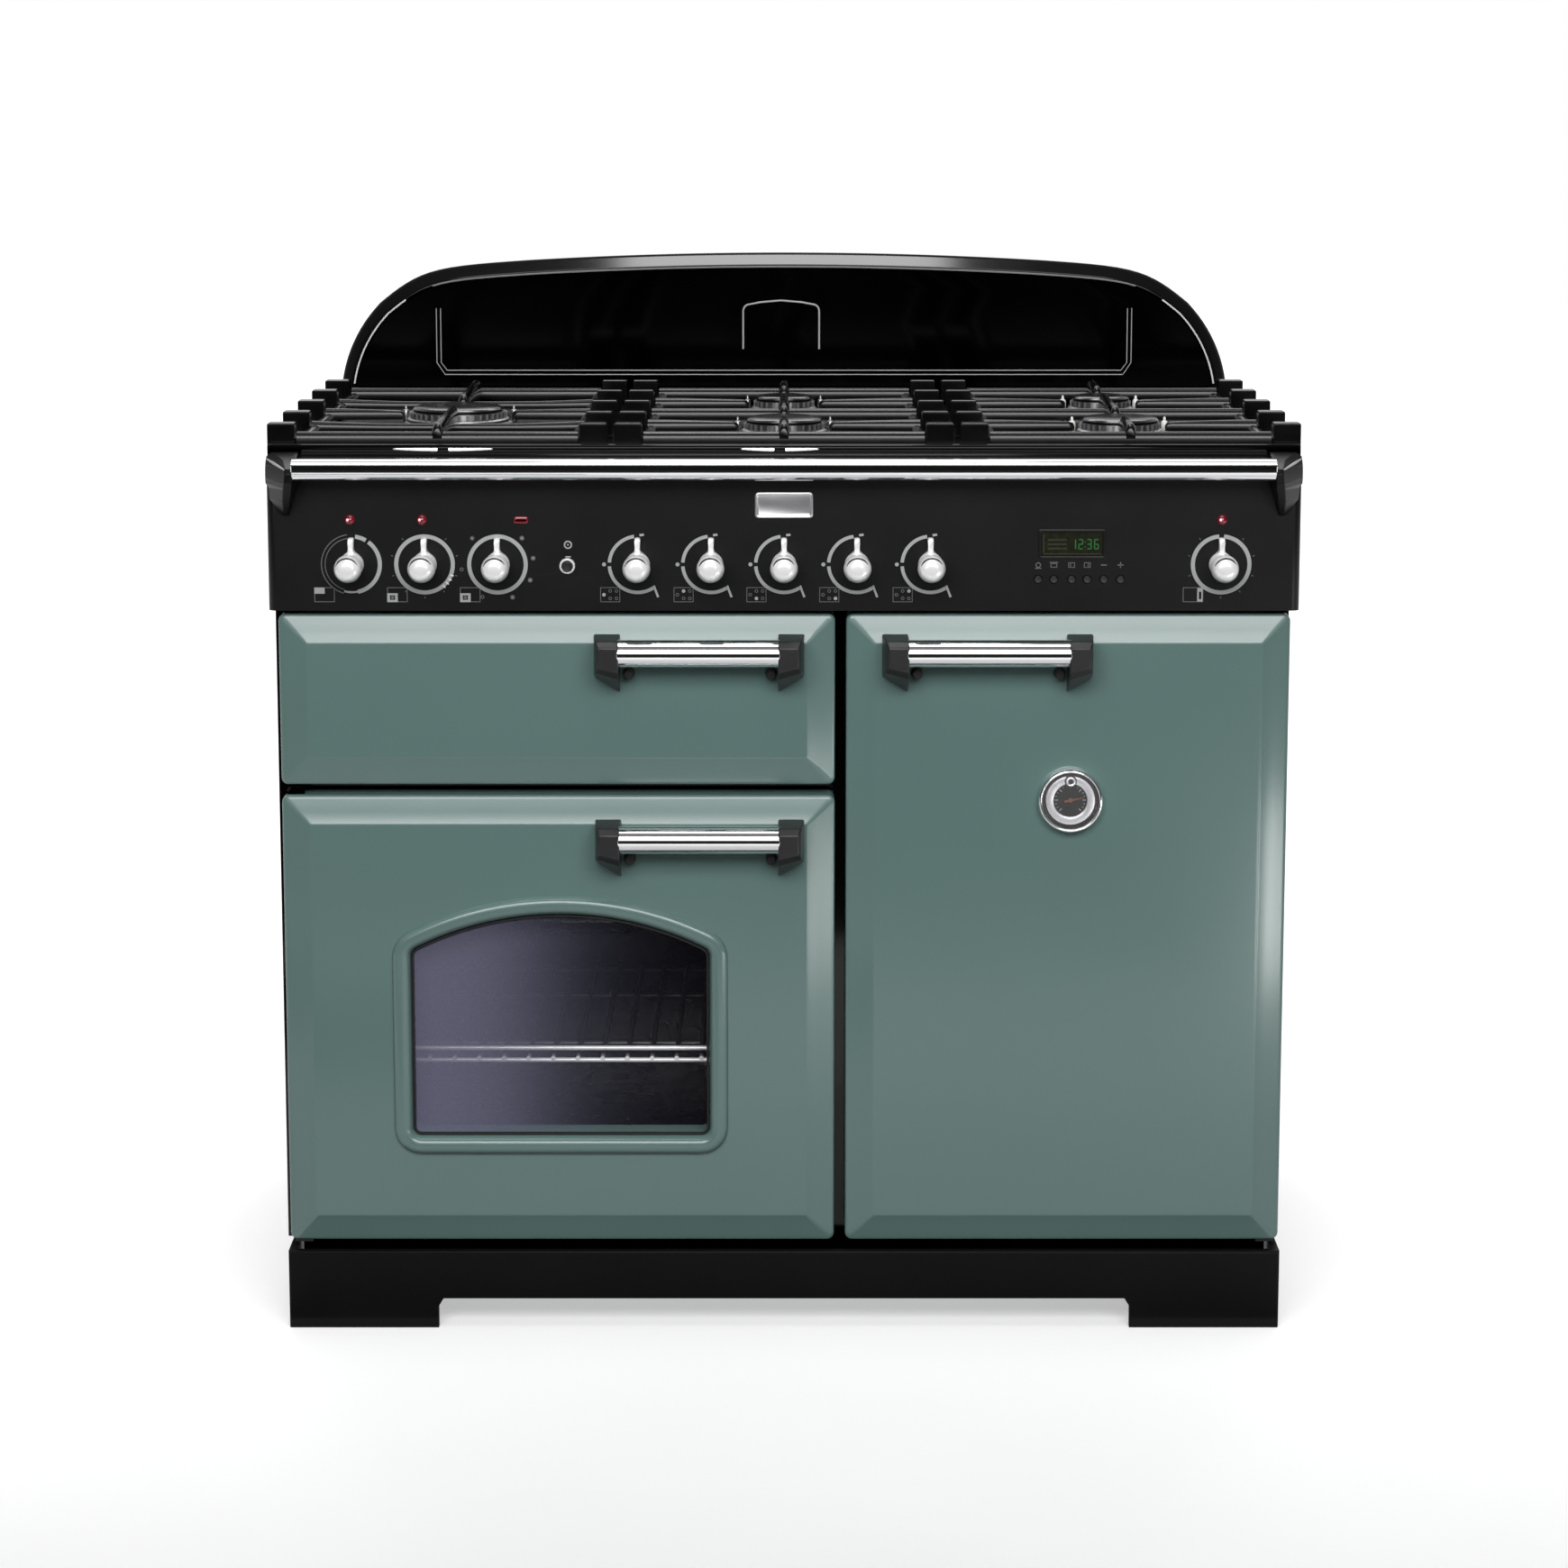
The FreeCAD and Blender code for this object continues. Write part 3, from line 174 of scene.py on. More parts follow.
def oven_enamel(name, base, fleck):
    """Dark vitreous enamel with fine pale flecks."""
    m, nt, b = shader(name, base, 0.26, coat=0.2, coat_rough=0.1)
    t = nt.nodes.new("ShaderNodeTexCoord")
    v = nt.nodes.new("ShaderNodeTexVoronoi")
    v.inputs["Scale"].default_value = 420
    nt.links.new(t.outputs["Object"], v.inputs["Vector"])
    c = ramp(nt, v.outputs["Distance"], [(0.10, fleck), (0.20, base)])
    nt.links.new(c.outputs["Color"], b.inputs["Base Color"])
    n = noise(nt, 30, 3)
    r = ramp(nt, n.outputs["Fac"], [(0.3, 0.20), (0.7, 0.32)])
    nt.links.new(r.outputs["Color"], b.inputs["Roughness"])
    bump(nt, b, n.outputs["Fac"], 0.05, 0.0006)
    return m


M["oven"] = oven_enamel("oven_enamel", (0.0075, 0.0072, 0.0095), (0.030, 0.030, 0.036))


def lens(name, color, glow):
    m, nt, b = shader(name, color, 0.12, coat=0.6)
    b.inputs["Emission Color"].default_value = (*color, 1)
    b.inputs["Emission Strength"].default_value = glow
    n = noise(nt, 300, 2)
    r = ramp(nt, n.outputs["Fac"], [(0.3, 0.08), (0.7, 0.18)])
    nt.links.new(r.outputs["Color"], b.inputs["Roughness"])
    return m


M["red"] = lens("red_lens", (0.17, 0.003, 0.012), 0.10)
M["neon"] = lens("neon_glow_and_glint", (1.0, 0.62, 0.66), 0.55)
M["tray_black"] = varied("tray_black_enamel", (0.0004, 0.0004, 0.00045), 0.2, 9.0, 0.09, 0.02, bump_s=0.02, bump_d=0.0002,
                         bump_scale=300, spec=0.12)
M["bead"] = varied("bead_painted_glint", (0.90, 0.90, 0.90), 0.03, 60.0, 0.16, 0.03, metal=1.0)
M["digit"] = lens("green_digit", (0.04, 0.16, 0.05), 0.06)

# --------------------------------------------------------------------------
# Mesh helpers
# --------------------------------------------------------------------------
def obj_from(name, verts, faces, mat, body, smooth=True, angle=35):
    me = bpy.data.meshes.new(name)
    me.from_pydata([tuple(v) for v in verts], [], faces)
    me.update()
    return finish_obj(name, me, mat, body, smooth, angle)


def finish_obj(name, me, mat, body, smooth=True, angle=35):
    bm = bmesh.new()
    bm.from_mesh(me)
    bmesh.ops.remove_doubles(bm, verts=bm.verts, dist=1e-6)
    bmesh.ops.recalc_face_normals(bm, faces=bm.faces)
    bm.to_mesh(me)
    bm.free()
    o = bpy.data.objects.new(name, me)
    scene.collection.objects.link(o)
    o.data.materials.append(mat)
    if smooth:
        for p in me.polygons:
            p.use_smooth = True
        me.set_sharp_from_angle(angle=radians(angle))
    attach(o, body)
    return o


def bevel(o, width, segments=2, angle=30):
    b = o.modifiers.new("edge", "BEVEL")
    b.width = width
    b.segments = segments
    b.limit_method = "ANGLE"
    b.angle_limit = radians(angle)
    b.harden_normals = False
    return o


def soften(node, width, segments=2, angle=30):
    """Round the edges of a carried-over node without touching its vertices."""
    o = N[node]
    w = o.modifiers.new("weld", "WELD")
    w.merge_threshold = 0.00001
    b = o.modifiers.new("edge", "BEVEL")
    b.width = width
    b.segments = segments
    b.limit_method = "ANGLE"
    b.angle_limit = radians(angle)
    return o


def paint(node, mat):
    o = N[node]
    o.data.materials.clear()
    o.data.materials.append(mat)


def rings_mesh(rings, close=True, cap_start=False, cap_end=False):
    """Faces between successive rings of equal length."""
    verts, faces = [], []
    n = len(rings[0])
    for r in rings:
        verts += r
    for i in range(len(rings) - 1):
        for j in range(n if close else n - 1):
            a, b = i * n + j, i * n + (j + 1) % n
            faces.append((a, b, b + n, a + n))
    if cap_start:
        faces.append(tuple(range(n))[::-1])
    if cap_end:
        base = (len(rings) - 1) * n
        faces.append(tuple(range(base, base + n)))
    return verts, faces


def lathe(name, profile, mat, body, axis="Y", at=(0, 0, 0), n=48, angle=35):
    """profile: (radius, along) from one end to the other; closed on the axis where the radius is 0."""
    rings = []
    for r, a in profile:
        ring = []
        for i in range(n):
            t = 2 * pi * i / n
            u, v = r * cos(t), r * sin(t)
            if axis == "Y":
                ring.append((at[0] + u, at[1] + a, at[2] + v))
            elif axis == "Z":
                ring.append((at[0] + u, at[1] + v, at[2] + a))
            else:
                ring.append((at[0] + a, at[1] + u, at[2] + v))
        rings.append(ring)
    v, f = rings_mesh(rings)
    return obj_from(name, v, f, mat, body, True, angle)


def join(objs, name):
    """One object out of several that share a material and a body."""
    bpy.ops.object.select_all(action="DESELECT")
    for o in objs:
        o.select_set(True)
    bpy.context.view_layer.objects.active = objs[0]
    bpy.ops.object.join()
    o = bpy.context.view_layer.objects.active
    o.name = name
    o.data.name = name
    return o


# --------------------------------------------------------------------------
# Doors
# --------------------------------------------------------------------------
def rrect(x0, z0, x1, z1, r, y, seg=5):
    pts = []
    for cx, cz, a0 in ((x1 - r, z1 - r, 0), (x0 + r, z1 - r, 90), (x0 + r, z0 + r, 180), (x1 - r, z0 + r, 270)):
        for i in range(seg + 1):
            a = radians(a0 + 90 * i / seg)
            pts.append((cx + r * cos(a), y, cz + r * sin(a)))
    return pts


WIN = (-0.364, -0.073, 0.198, 0.384, 0.420)


def arch_loop(g, y, rb=0.008, rs=0.010, seg=6, top=30):
    """The window's arched outline grown by g, with rounded corners."""
    x0, x1, z0, zs, zt = WIN
    c, w, h = (x0 + x1) / 2, (x1 - x0) / 2, zt - zs
    R = (w * w + h * h) / (2 * h)
    zc = zt - R
    rb, rs, R = rb + g, rs + g, R + g
    w, z0 = w + g, z0 - g
    fx = w - rs
    fz = zc + sqrt((R - rs) ** 2 - fx ** 2)
    a1 = atan2(fz - zc, fx)
    pts = []
    for i in range(seg + 1):
        a = -pi / 2 + (pi / 2) * i / seg
        pts.append((c + w - rb + rb * cos(a), y, z0 + rb + rb * sin(a)))
    for i in range(seg + 1):
        a = a1 * i / seg
        pts.append((c + fx + rs * cos(a), y, fz + rs * sin(a)))
    for i in range(1, top):
        a = a1 + (pi - 2 * a1) * i / top
        pts.append((c + R * cos(a), y, zc + R * sin(a)))
    for i in range(seg + 1):
        a = pi - a1 + a1 * i / seg
        pts.append((c - fx + rs * cos(a), y, fz + rs * sin(a)))
    for i in range(seg + 1):
        a = pi + (pi / 2) * i / seg
        pts.append((c - w + rb + rb * cos(a), y, z0 + rb + rb * sin(a)))
    return pts


door_profile = [(0.0, -0.2464, 0.007), (0.0, -0.2716, 0.007), (0.0002, -0.2728, 0.0068), (0.0008, -0.2738, 0.0064),
                (0.0018, -0.2745, 0.006), (0.0034, -0.2750, 0.0056), (0.0150, -0.2783, 0.0042), (0.0256, -0.28125, 0.0030),
                (0.0263, -0.28155, 0.0030), (0.0271, -0.2818, 0.0030), (0.0282, -0.28195, 0.0030), (0.0300, -0.2820, 0.0030)]


def door_skin(name, body, x0, x1, z0, z1, window=False):
    rings = [rrect(x0 + i, z0 + i, x1 - i, z1 - i, r, y) for i, y, r in door_profile]
    n = len(rings[0])
    bm = bmesh.new()
    rows = [[bm.verts.new(p) for p in ring] for ring in rings]
    for a, b in zip(rows, rows[1:]):
        for j in range(n):
            bm.faces.new((a[j], a[(j + 1) % n], b[(j + 1) % n], b[j]))

    def edges(row):
        return [bm.edges.get((row[j], row[(j + 1) % len(row)])) or bm.edges.new((row[j], row[(j + 1) % len(row)]))
                for j in range(len(row))]

    if not window:
        bm.faces.new(rows[0])
        bm.faces.new(rows[-1])
    else:
        mould = [(0.0182, -0.2820), (0.0180, -0.2828), (0.0178, -0.2846), (0.0170, -0.2865), (0.0152, -0.2880),
                 (0.0125, -0.2888), (0.0095, -0.2890), (0.0066, -0.2886), (0.0042, -0.2875), (0.0024, -0.2858),
                 (0.0012, -0.2836), (0.0004, -0.2812), (0.0, -0.2795), (0.0, -0.2464)]
        m_rows = [[bm.verts.new(p) for p in arch_loop(g, y)] for g, y in mould]
        k = len(m_rows[0])
        for a, b in zip(m_rows, m_rows[1:]):
            for j in range(k):
                bm.faces.new((a[j], a[(j + 1) % k], b[(j + 1) % k], b[j]))
        bmesh.ops.triangle_fill(bm, use_beauty=True, use_dissolve=False, edges=edges(rows[-1]) + edges(m_rows[0]))
        bmesh.ops.triangle_fill(bm, use_beauty=True, use_dissolve=False, edges=edges(rows[0]) + edges(m_rows[-1]))
    me = bpy.data.meshes.new(name)
    bm.to_mesh(me)
    bm.free()
    return finish_obj(name, me, M["green"], body, True, 40)


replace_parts(door_skin("grill_door_skin", "grill_door", -0.4877, 0.0494, 0.5476, 0.7152), "grill_door_panel")
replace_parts(door_skin("left_oven_door_skin", "left_oven_door", -0.4877, 0.0494, 0.0891, 0.5370, True), "left_oven_door_panel")
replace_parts(door_skin("right_oven_door_skin", "right_oven_door", 0.0600, 0.4885, 0.0891, 0.7152), "right_oven_door_panel")

# Window gasket: a thin dark lip between the moulding and the pane
v, f = rings_mesh([arch_loop(g, y) for g, y in ((-0.0002, -0.2800), (-0.0004, -0.2812), (-0.0014, -0.2818), (-0.0024, -0.2812),
                                                (-0.0028, -0.2800), (-0.0028, -0.2791), (-0.0002, -0.2791), (-0.0002, -0.2800))])
obj_from("window_gasket", v, f, M["seal"], "left_oven_door")

# The window's glazing, one sealed unit; its purple-grey tint, strong at the left and thinning out to the right, is a
# painted reflection
m, nt, b = shader("glass_painted_reflection", (0.27, 0.27, 0.395), 0.3, spec=0.12)
n = noise(nt, 9, 3)
r = ramp(nt, n.outputs["Fac"], [(0.1, 0.25), (0.9, 0.35)])
nt.links.new(r.outputs["Color"], b.inputs["Roughness"])
t = nt.nodes.new("ShaderNodeTexCoord")
s = nt.nodes.new("ShaderNodeSeparateXYZ")
nt.links.new(t.outputs["Object"], s.inputs["Vector"])
mr = nt.nodes.new("ShaderNodeMapRange")
mr.inputs["From Min"].default_value = -0.364
mr.inputs["From Max"].default_value = -0.073
nt.links.new(s.outputs["X"], mr.inputs["Value"])
# painted reflection: the tint's opacity, high at the left and fading out to the right
painted_reflection_fade = ramp(nt, mr.outputs["Result"], [(0.0, 0.37), (0.22, 0.34), (0.46, 0.09), (0.70, 0.012), (1.0, 0.008)])
painted_reflection_fade.color_ramp.interpolation = "B_SPLINE"
nt.links.new(painted_reflection_fade.outputs["Color"], b.inputs["Alpha"])
M["glass"] = m
v, f = rings_mesh([arch_loop(-0.0003, -0.2790), arch_loop(-0.0003, -0.2466)], cap_start=True, cap_end=True)
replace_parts(obj_from("window_glazing", v, f, M["glass"], "left_oven_door", False), "left_oven_door_glass")

# --------------------------------------------------------------------------
# Handles: a bright bar between two dark faceted ends
# --------------------------------------------------------------------------
def loft(name, back, front, mat, body, mids=(), width=0.0008):
    """Solid between matching outlines, each a list of points."""
    v, f = rings_mesh([back, *mids, front], cap_start=True, cap_end=True)
    o = obj_from(name, v, f, mat, body, True, 25)
    bevel(o, width, 2, 20)
    return o


def handle_end(name, body, xo, xi, z):
    """xo is the outer side and xi the side that holds the bar."""
    s = 1 if xi > xo else -1

    def outline(y, top, ix, outer_bottom, inner_bottom, inner_ix=0.0):
        return [(xo + s * ix, y, z + top), (xi - s * inner_ix, y, z + top), (xi - s * inner_ix, y, z + inner_bottom),
                (xo + s * ix, y, z + outer_bottom)]

    return loft(name, outline(-0.2820, 0.0140, 0.0, -0.0270, -0.0430), outline(-0.3258, 0.0070, 0.0052, -0.0120, -0.0165),
                M["bracket"], body,
                mids=[outline(-0.2866, 0.0140, 0.0, -0.0262, -0.0412), outline(-0.3190, 0.0125, 0.0028, -0.0180, -0.0245)],
                width=0.0012)


for which, body, x0, x1, z in (("grill", "grill_door", -0.158, -0.0055, 0.683),
                               ("left_oven", "left_oven_door", -0.158, -0.0055, 0.501),
                               ("right_oven", "right_oven_door", 0.1195, 0.2725, 0.683)):
    a = handle_end(which + "_handle_end_left", body, x0 - 0.025, x0, z)
    c = handle_end(which + "_handle_end_right", body, x1 + 0.025, x1, z)
    for k, bx in enumerate((x0 + 0.0085, x1 - 0.0070)):
        lathe("%s_handle_foot_%d" % (which, k + 1), [(0, -0.2812), (0.0058, -0.2812), (0.0056, -0.2840), (0.0050, -0.2860), (0.0048, -0.2940),
                                                     (0.0040, -0.2952), (0, -0.2954)], M["seal"], body, "Y", (bx, 0, z - 0.0238), 28)
    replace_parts(a, which + "_handle_ends")
    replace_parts(c, which + "_handle_ends")
    bar = lathe(which + "_handle_tube", [(0, x0 - 0.002), (0.0124, x0 - 0.002), (0.0130, x0 - 0.0012), (0.0130, x0 + 0.02),
                                         (0.0130, (x0 + x1) / 2), (0.0130, x1 - 0.02), (0.0130, x1 + 0.0012),
                                         (0.0124, x1 + 0.002), (0, x1 + 0.002)],
                M["chrome"], body, "X", (0, -0.313, z), 64)
    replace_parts(bar, which + "_handle_bar")

# --------------------------------------------------------------------------
# Knobs: a tear-drop base with a pointer, a waist and a round bright grip
# --------------------------------------------------------------------------
KNOB_Z = 0.7646
KNOBS = [("grill_knob", -0.415), ("left_oven_knob", -0.345), ("left_oven_function_knob", -0.275),
         ("left_burner_knob", -0.1405), ("centre_rear_burner_knob", -0.070), ("centre_front_burner_knob", 0.0),
         ("right_front_burner_knob", 0.070), ("right_rear_burner_knob", 0.1405), ("right_oven_knob", 0.4195)]


def tear(x, y, grow):
    """Tear-drop outline: round below, drawn up to a blunt tip."""
    half = [(0.0, 0.0262), (0.0018, 0.0261), (0.0027, 0.0254), (0.0029, 0.0235), (0.0027, 0.0200), (0.0026, 0.0170),
            (0.0028, 0.0145), (0.0036, 0.0126), (0.0056, 0.0108), (0.0080, 0.0089), (0.0100, 0.0066), (0.0113, 0.0040),
            (0.0119, 0.0012)]
    half += [(0.0120 * cos(a), 0.0120 * sin(a)) for a in [radians(-d) for d in range(5, 90, 12)]]
    pts = half + [(0.0, -0.0120)] + [(-u, w) for u, w in reversed(half[1:])]
    out = []
    for u, w in pts:
        l = hypot(u, w)
        k = (l + grow) / l
        out.append((x + u * k, y, KNOB_Z + w * k))
    return out


bulb = [(0.0113, -0.2885), (0.0112, -0.2915), (0.0098, -0.2945), (0.0088, -0.2962), (0.0085, -0.2985), (0.0090, -0.3006),
        (0.0103, -0.3024), (0.0117, -0.3048), (0.0127, -0.3078), (0.01325, -0.3112), (0.0133, -0.3140), (0.0129, -0.3172),
        (0.0119, -0.3204), (0.0104, -0.3228), (0.0086, -0.3245), (0.0066, -0.3254), (0.0044, -0.3258), (0.0020, -0.3259),
        (0.0, -0.3259)]
for name, x in KNOBS:
    v, f = rings_mesh([tear(x, -0.2825, 0.0), tear(x, -0.2868, 0.0), tear(x, -0.2888, -0.0004), tear(x, -0.2899, -0.0012),
                       tear(x, -0.2904, -0.0024)], cap_start=True, cap_end=True)
    base = obj_from(name + "_base", v, f, M["knob_chrome"], name, True, 50)
    grip = lathe(name + "_grip", [(r, y) for r, y in bulb], M["knob_chrome"], name, "Y", (x, 0, KNOB_Z), 48, 60)
    # A dark arc along the grip's upper edge: painted shade for the shadow line between the base and the grip.
    shade_arc = []
    for i in range(25):
        a = radians(28 + 134 * i / 24)
        k = 0.00105 * min(1.0, 0.30 + min(i, 24 - i) * 0.14)
        shade_arc.append([(x + (0.0108 + k * cos(w)) * cos(a), -0.3219 + k * sin(w), KNOB_Z + (0.0108 + k * cos(w)) * sin(a))
                       for w in (2 * pi * q / 8 for q in range(8))])
    v, f = rings_mesh(shade_arc, cap_start=True, cap_end=True)
    obj_from(name + "_painted_shade_arc", v, f, M["plastic"], name, True, 60)
    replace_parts(join([base, grip], name + "_chrome"), name)

# --------------------------------------------------------------------------
# Front rail and its end brackets
# --------------------------------------------------------------------------
RAIL_Y, RAIL_Z = -0.3155, 0.860


def rail_section(x, k):
    """A tube section whose front is drawn a little flat; k shrinks it at the ends."""
    pts = []
    for i in range(13):
        a = pi / 2 * i / 12
        pts.append((-0.0104 * sin(a), 0.0054 + 0.0051 * cos(a)))
    for i in range(13):
        a = pi / 2 * i / 12
        pts.append((-0.0101 * cos(a), 0.0006 - 0.0111 * sin(a)))
    for i in range(1, 24):
        a = pi * i / 24
        pts.append((0.0105 * sin(a), -0.0105 * cos(a)))
    return [(x, RAIL_Y + k * u, RAIL_Z + k * w) for u, w in pts]


v, f = rings_mesh([rail_section(x, k) for x, k in ((-0.4660, 0.94), (-0.4653, 1.0), (-0.30, 1.0), (0.0, 1.0), (0.30, 1.0), (0.4653, 1.0),
                                                   (0.4660, 0.94))], cap_start=True, cap_end=True)
rail = obj_from("rail_polished", v, f, M["chrome"], "cabinet", True, 40)
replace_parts(rail, "rail_tube")


def rail_bracket(name, s):
    """A faceted prow that holds the rail's end and runs down into a tapering rib."""
    levels = [(0.8728, 0.4640, 0.4640, -0.2836, 0.4860, 0.4900, -0.2830), (0.8672, 0.4625, 0.4640, -0.3020, 0.4760, 0.4950, -0.2846),
              (0.8610, 0.4625, 0.4650, -0.3230, 0.4722, 0.4955, -0.2862), (0.8560, 0.4625, 0.4655, -0.3256, 0.4716, 0.4956, -0.2872),
              (0.8480, 0.4625, 0.4655, -0.3240, 0.4728, 0.4956, -0.2876), (0.8432, 0.4640, 0.4660, -0.3190, 0.4742, 0.4954, -0.2872),
              (0.8402, 0.4650, 0.4666, -0.3160, 0.4750, 0.4925, -0.2868), (0.8280, 0.4690, 0.4700, -0.3030, 0.4774, 0.4918, -0.2852),
              (0.8150, 0.4726, 0.4732, -0.2890, 0.4786, 0.4830, -0.2834), (0.8122, 0.4740, 0.4742, -0.2850, 0.4776, 0.4800, -0.2828)]
    rings = [[(s * xb, -0.2815, z), (s * xf, yf, z), (s * xm, yf, z), (s * xo, yo, z), (s * xo, -0.2815, z)]
             for z, xb, xf, yf, xm, xo, yo in levels]
    v, f = rings_mesh(rings, cap_start=True, cap_end=True)
    o = obj_from(name, v, f, M["rail_bracket"], "cabinet", True, 10)
    bevel(o, 0.0007, 2, 9)
    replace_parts(o, "rail_brackets")
    # a raised ridge from the outer corner to the rail's end, light grey as a painted highlight
    p0, p1 = Vector((s * 0.4936, -0.2862, 0.8668)), Vector((s * 0.4724, -0.3232, 0.8606))
    along = (p1 - p0).normalized()
    side_v = along.cross(Vector((0, 0, 1))).normalized()
    up_v = side_v.cross(along)
    rings = []
    for i in range(13):
        t = i / 12
        r = 0.0004 + 0.0010 * sin(pi * min(1.0, 0.12 + 0.80 * t))
        c = p0 + (p1 - p0) * t
        rings.append([tuple(c + side_v * (r * cos(2 * pi * q / 10)) + up_v * (r * sin(2 * pi * q / 10))) for q in range(10)])
    v, f = rings_mesh(rings, cap_start=True, cap_end=True)
    obj_from(name + "_ridge", v, f, M["ridge"], "cabinet", True, 60)


for s, side in ((-1, "left"), (1, "right")):
    rail_bracket("rail_bracket_" + side, s)

# --------------------------------------------------------------------------
# Hob: burners, pan supports
# --------------------------------------------------------------------------
BURNERS = [("left", -0.333, -0.031, 0.052, 0.046), ("centre_front", 0.0, -0.144, 0.042, 0.038),
           ("centre_rear", 0.0, 0.082, 0.034, 0.030), ("right_front", 0.333, -0.144, 0.042, 0.038),
           ("right_rear", 0.333, 0.082, 0.034, 0.030)]
for name, x, y, rh, rc in BURNERS:
    head = lathe("burner_head_" + name, [(0, 0.8745), (rh + 0.003, 0.8745), (rh + 0.003, 0.8762), (rh, 0.8775), (rh, 0.8800),
                                         (rh - 0.0015, 0.8812), (rh - 0.004, 0.8816), (rh - 0.0045, 0.8876), (0, 0.8876)],
                 M["alloy"], "cabinet", "Z", (x, y, 0), 64)
    # flame ports: short slots round the head
    teeth = []
    k = int(rh * 1000 * 0.75)
    for i in range(k):
        a = 2 * pi * i / k
        c, s_ = cos(a), sin(a)
        r0, r1, w = rh - 0.0055, rh - 0.0022, 0.0011
        q = []
        for r, t, z in ((r0, -w, 0.8818), (r1, -w, 0.8818), (r1, w, 0.8818), (r0, w, 0.8818),
                        (r0, -w, 0.8872), (r1, -w, 0.8872), (r1, w, 0.8872), (r0, w, 0.8872)):
            q.append((x + r * c - t * s_, y + r * s_ + t * c, z))
        teeth.append(obj_from("tooth", q, [(3, 2, 1, 0), (4, 5, 6, 7), (0, 1, 5, 4), (1, 2, 6, 5), (2, 3, 7, 6), (3, 0, 4, 7)],
                              M["alloy"], "cabinet", False))
    head = join([head] + teeth, "burner_head_" + name)
    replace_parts(head, "burner_heads")
    cap = lathe("burner_cap_" + name, [(0, 0.8878), (rc - 0.001, 0.8878), (rc, 0.8886), (rc, 0.8902), (rc - 0.0012, 0.8918),
                                       (rc - 0.004, 0.8929), (rc - 0.010, 0.8936), (rc * 0.45, 0.8939), (0, 0.8940)],
                M["cap"], "cabinet", "Z", (x, y, 0), 64)
    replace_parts(cap, "burner_caps")
    post = "ceramic" if x > 0.2 else "alloy"
    for side, mat, tip in ((1, post, "spark"), (-1, post, "sense")):
        a = radians(90 - 70 * side)
        ex, ey = x + (rh + 0.007) * cos(a), y + (rh + 0.007) * sin(a)
        p = lathe("burner_%s_%s" % (tip, name), [(0, 0.8745), (0.0032, 0.8745), (0.0034, 0.8752), (0.0034, 0.8850),
                                                 (0.0027, 0.8868), (0.0014, 0.8874), (0.0012, 0.8905), (0.0004, 0.8915),
                                                 (0, 0.8916)], M[mat], "cabinet", "Z", (ex, ey, 0), 20)
        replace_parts(p, "burner_heads")

DOME = [(-1.0, 0.0), (-1.0, 0.26), (-0.96, 0.46), (-0.87, 0.66), (-0.70, 0.83), (-0.46, 0.94), (-0.18, 0.99), (0.18, 0.99),
        (0.46, 0.94), (0.70, 0.83), (0.87, 0.66), (0.96, 0.46), (1.0, 0.26), (1.0, 0.0)]


def dome_bar(path, width, z0, body):
    """A cast bar with a domed top along points (x, y, top, width factor)."""
    rings = []
    for i, (x, y, top, k) in enumerate(path):
        p, q = path[max(0, i - 1)], path[min(len(path) - 1, i + 1)]
        dx, dy = q[0] - p[0], q[1] - p[1]
        l = hypot(dx, dy)
        nx, ny = -dy / l, dx / l
        rings.append([(x + nx * u * k * width / 2, y + ny * u * k * width / 2, z0 + t * (top - z0)) for u, t in DOME])
    v, f = rings_mesh(rings, cap_start=True, cap_end=True)
    return obj_from("bar", v, f, M["cast"], body, True, 50)


def cast_block(x0, y0, z0, x1, y1, z1, r, body):
    rings = [[(x0 + g, y0 + g, z), (x1 - g, y0 + g, z), (x1 - g, y1 - g, z), (x0 + g, y1 - g, z)]
             for g, z in ((r * 0.6, z0), (0.0, z0 + r * 0.6), (0.0, z1 - r), (r * 0.3, z1 - r * 0.3), (r, z1))]
    v, f = rings_mesh(rings, cap_start=True, cap_end=True)
    return obj_from("block", v, f, M["cast"], body, True, 20)


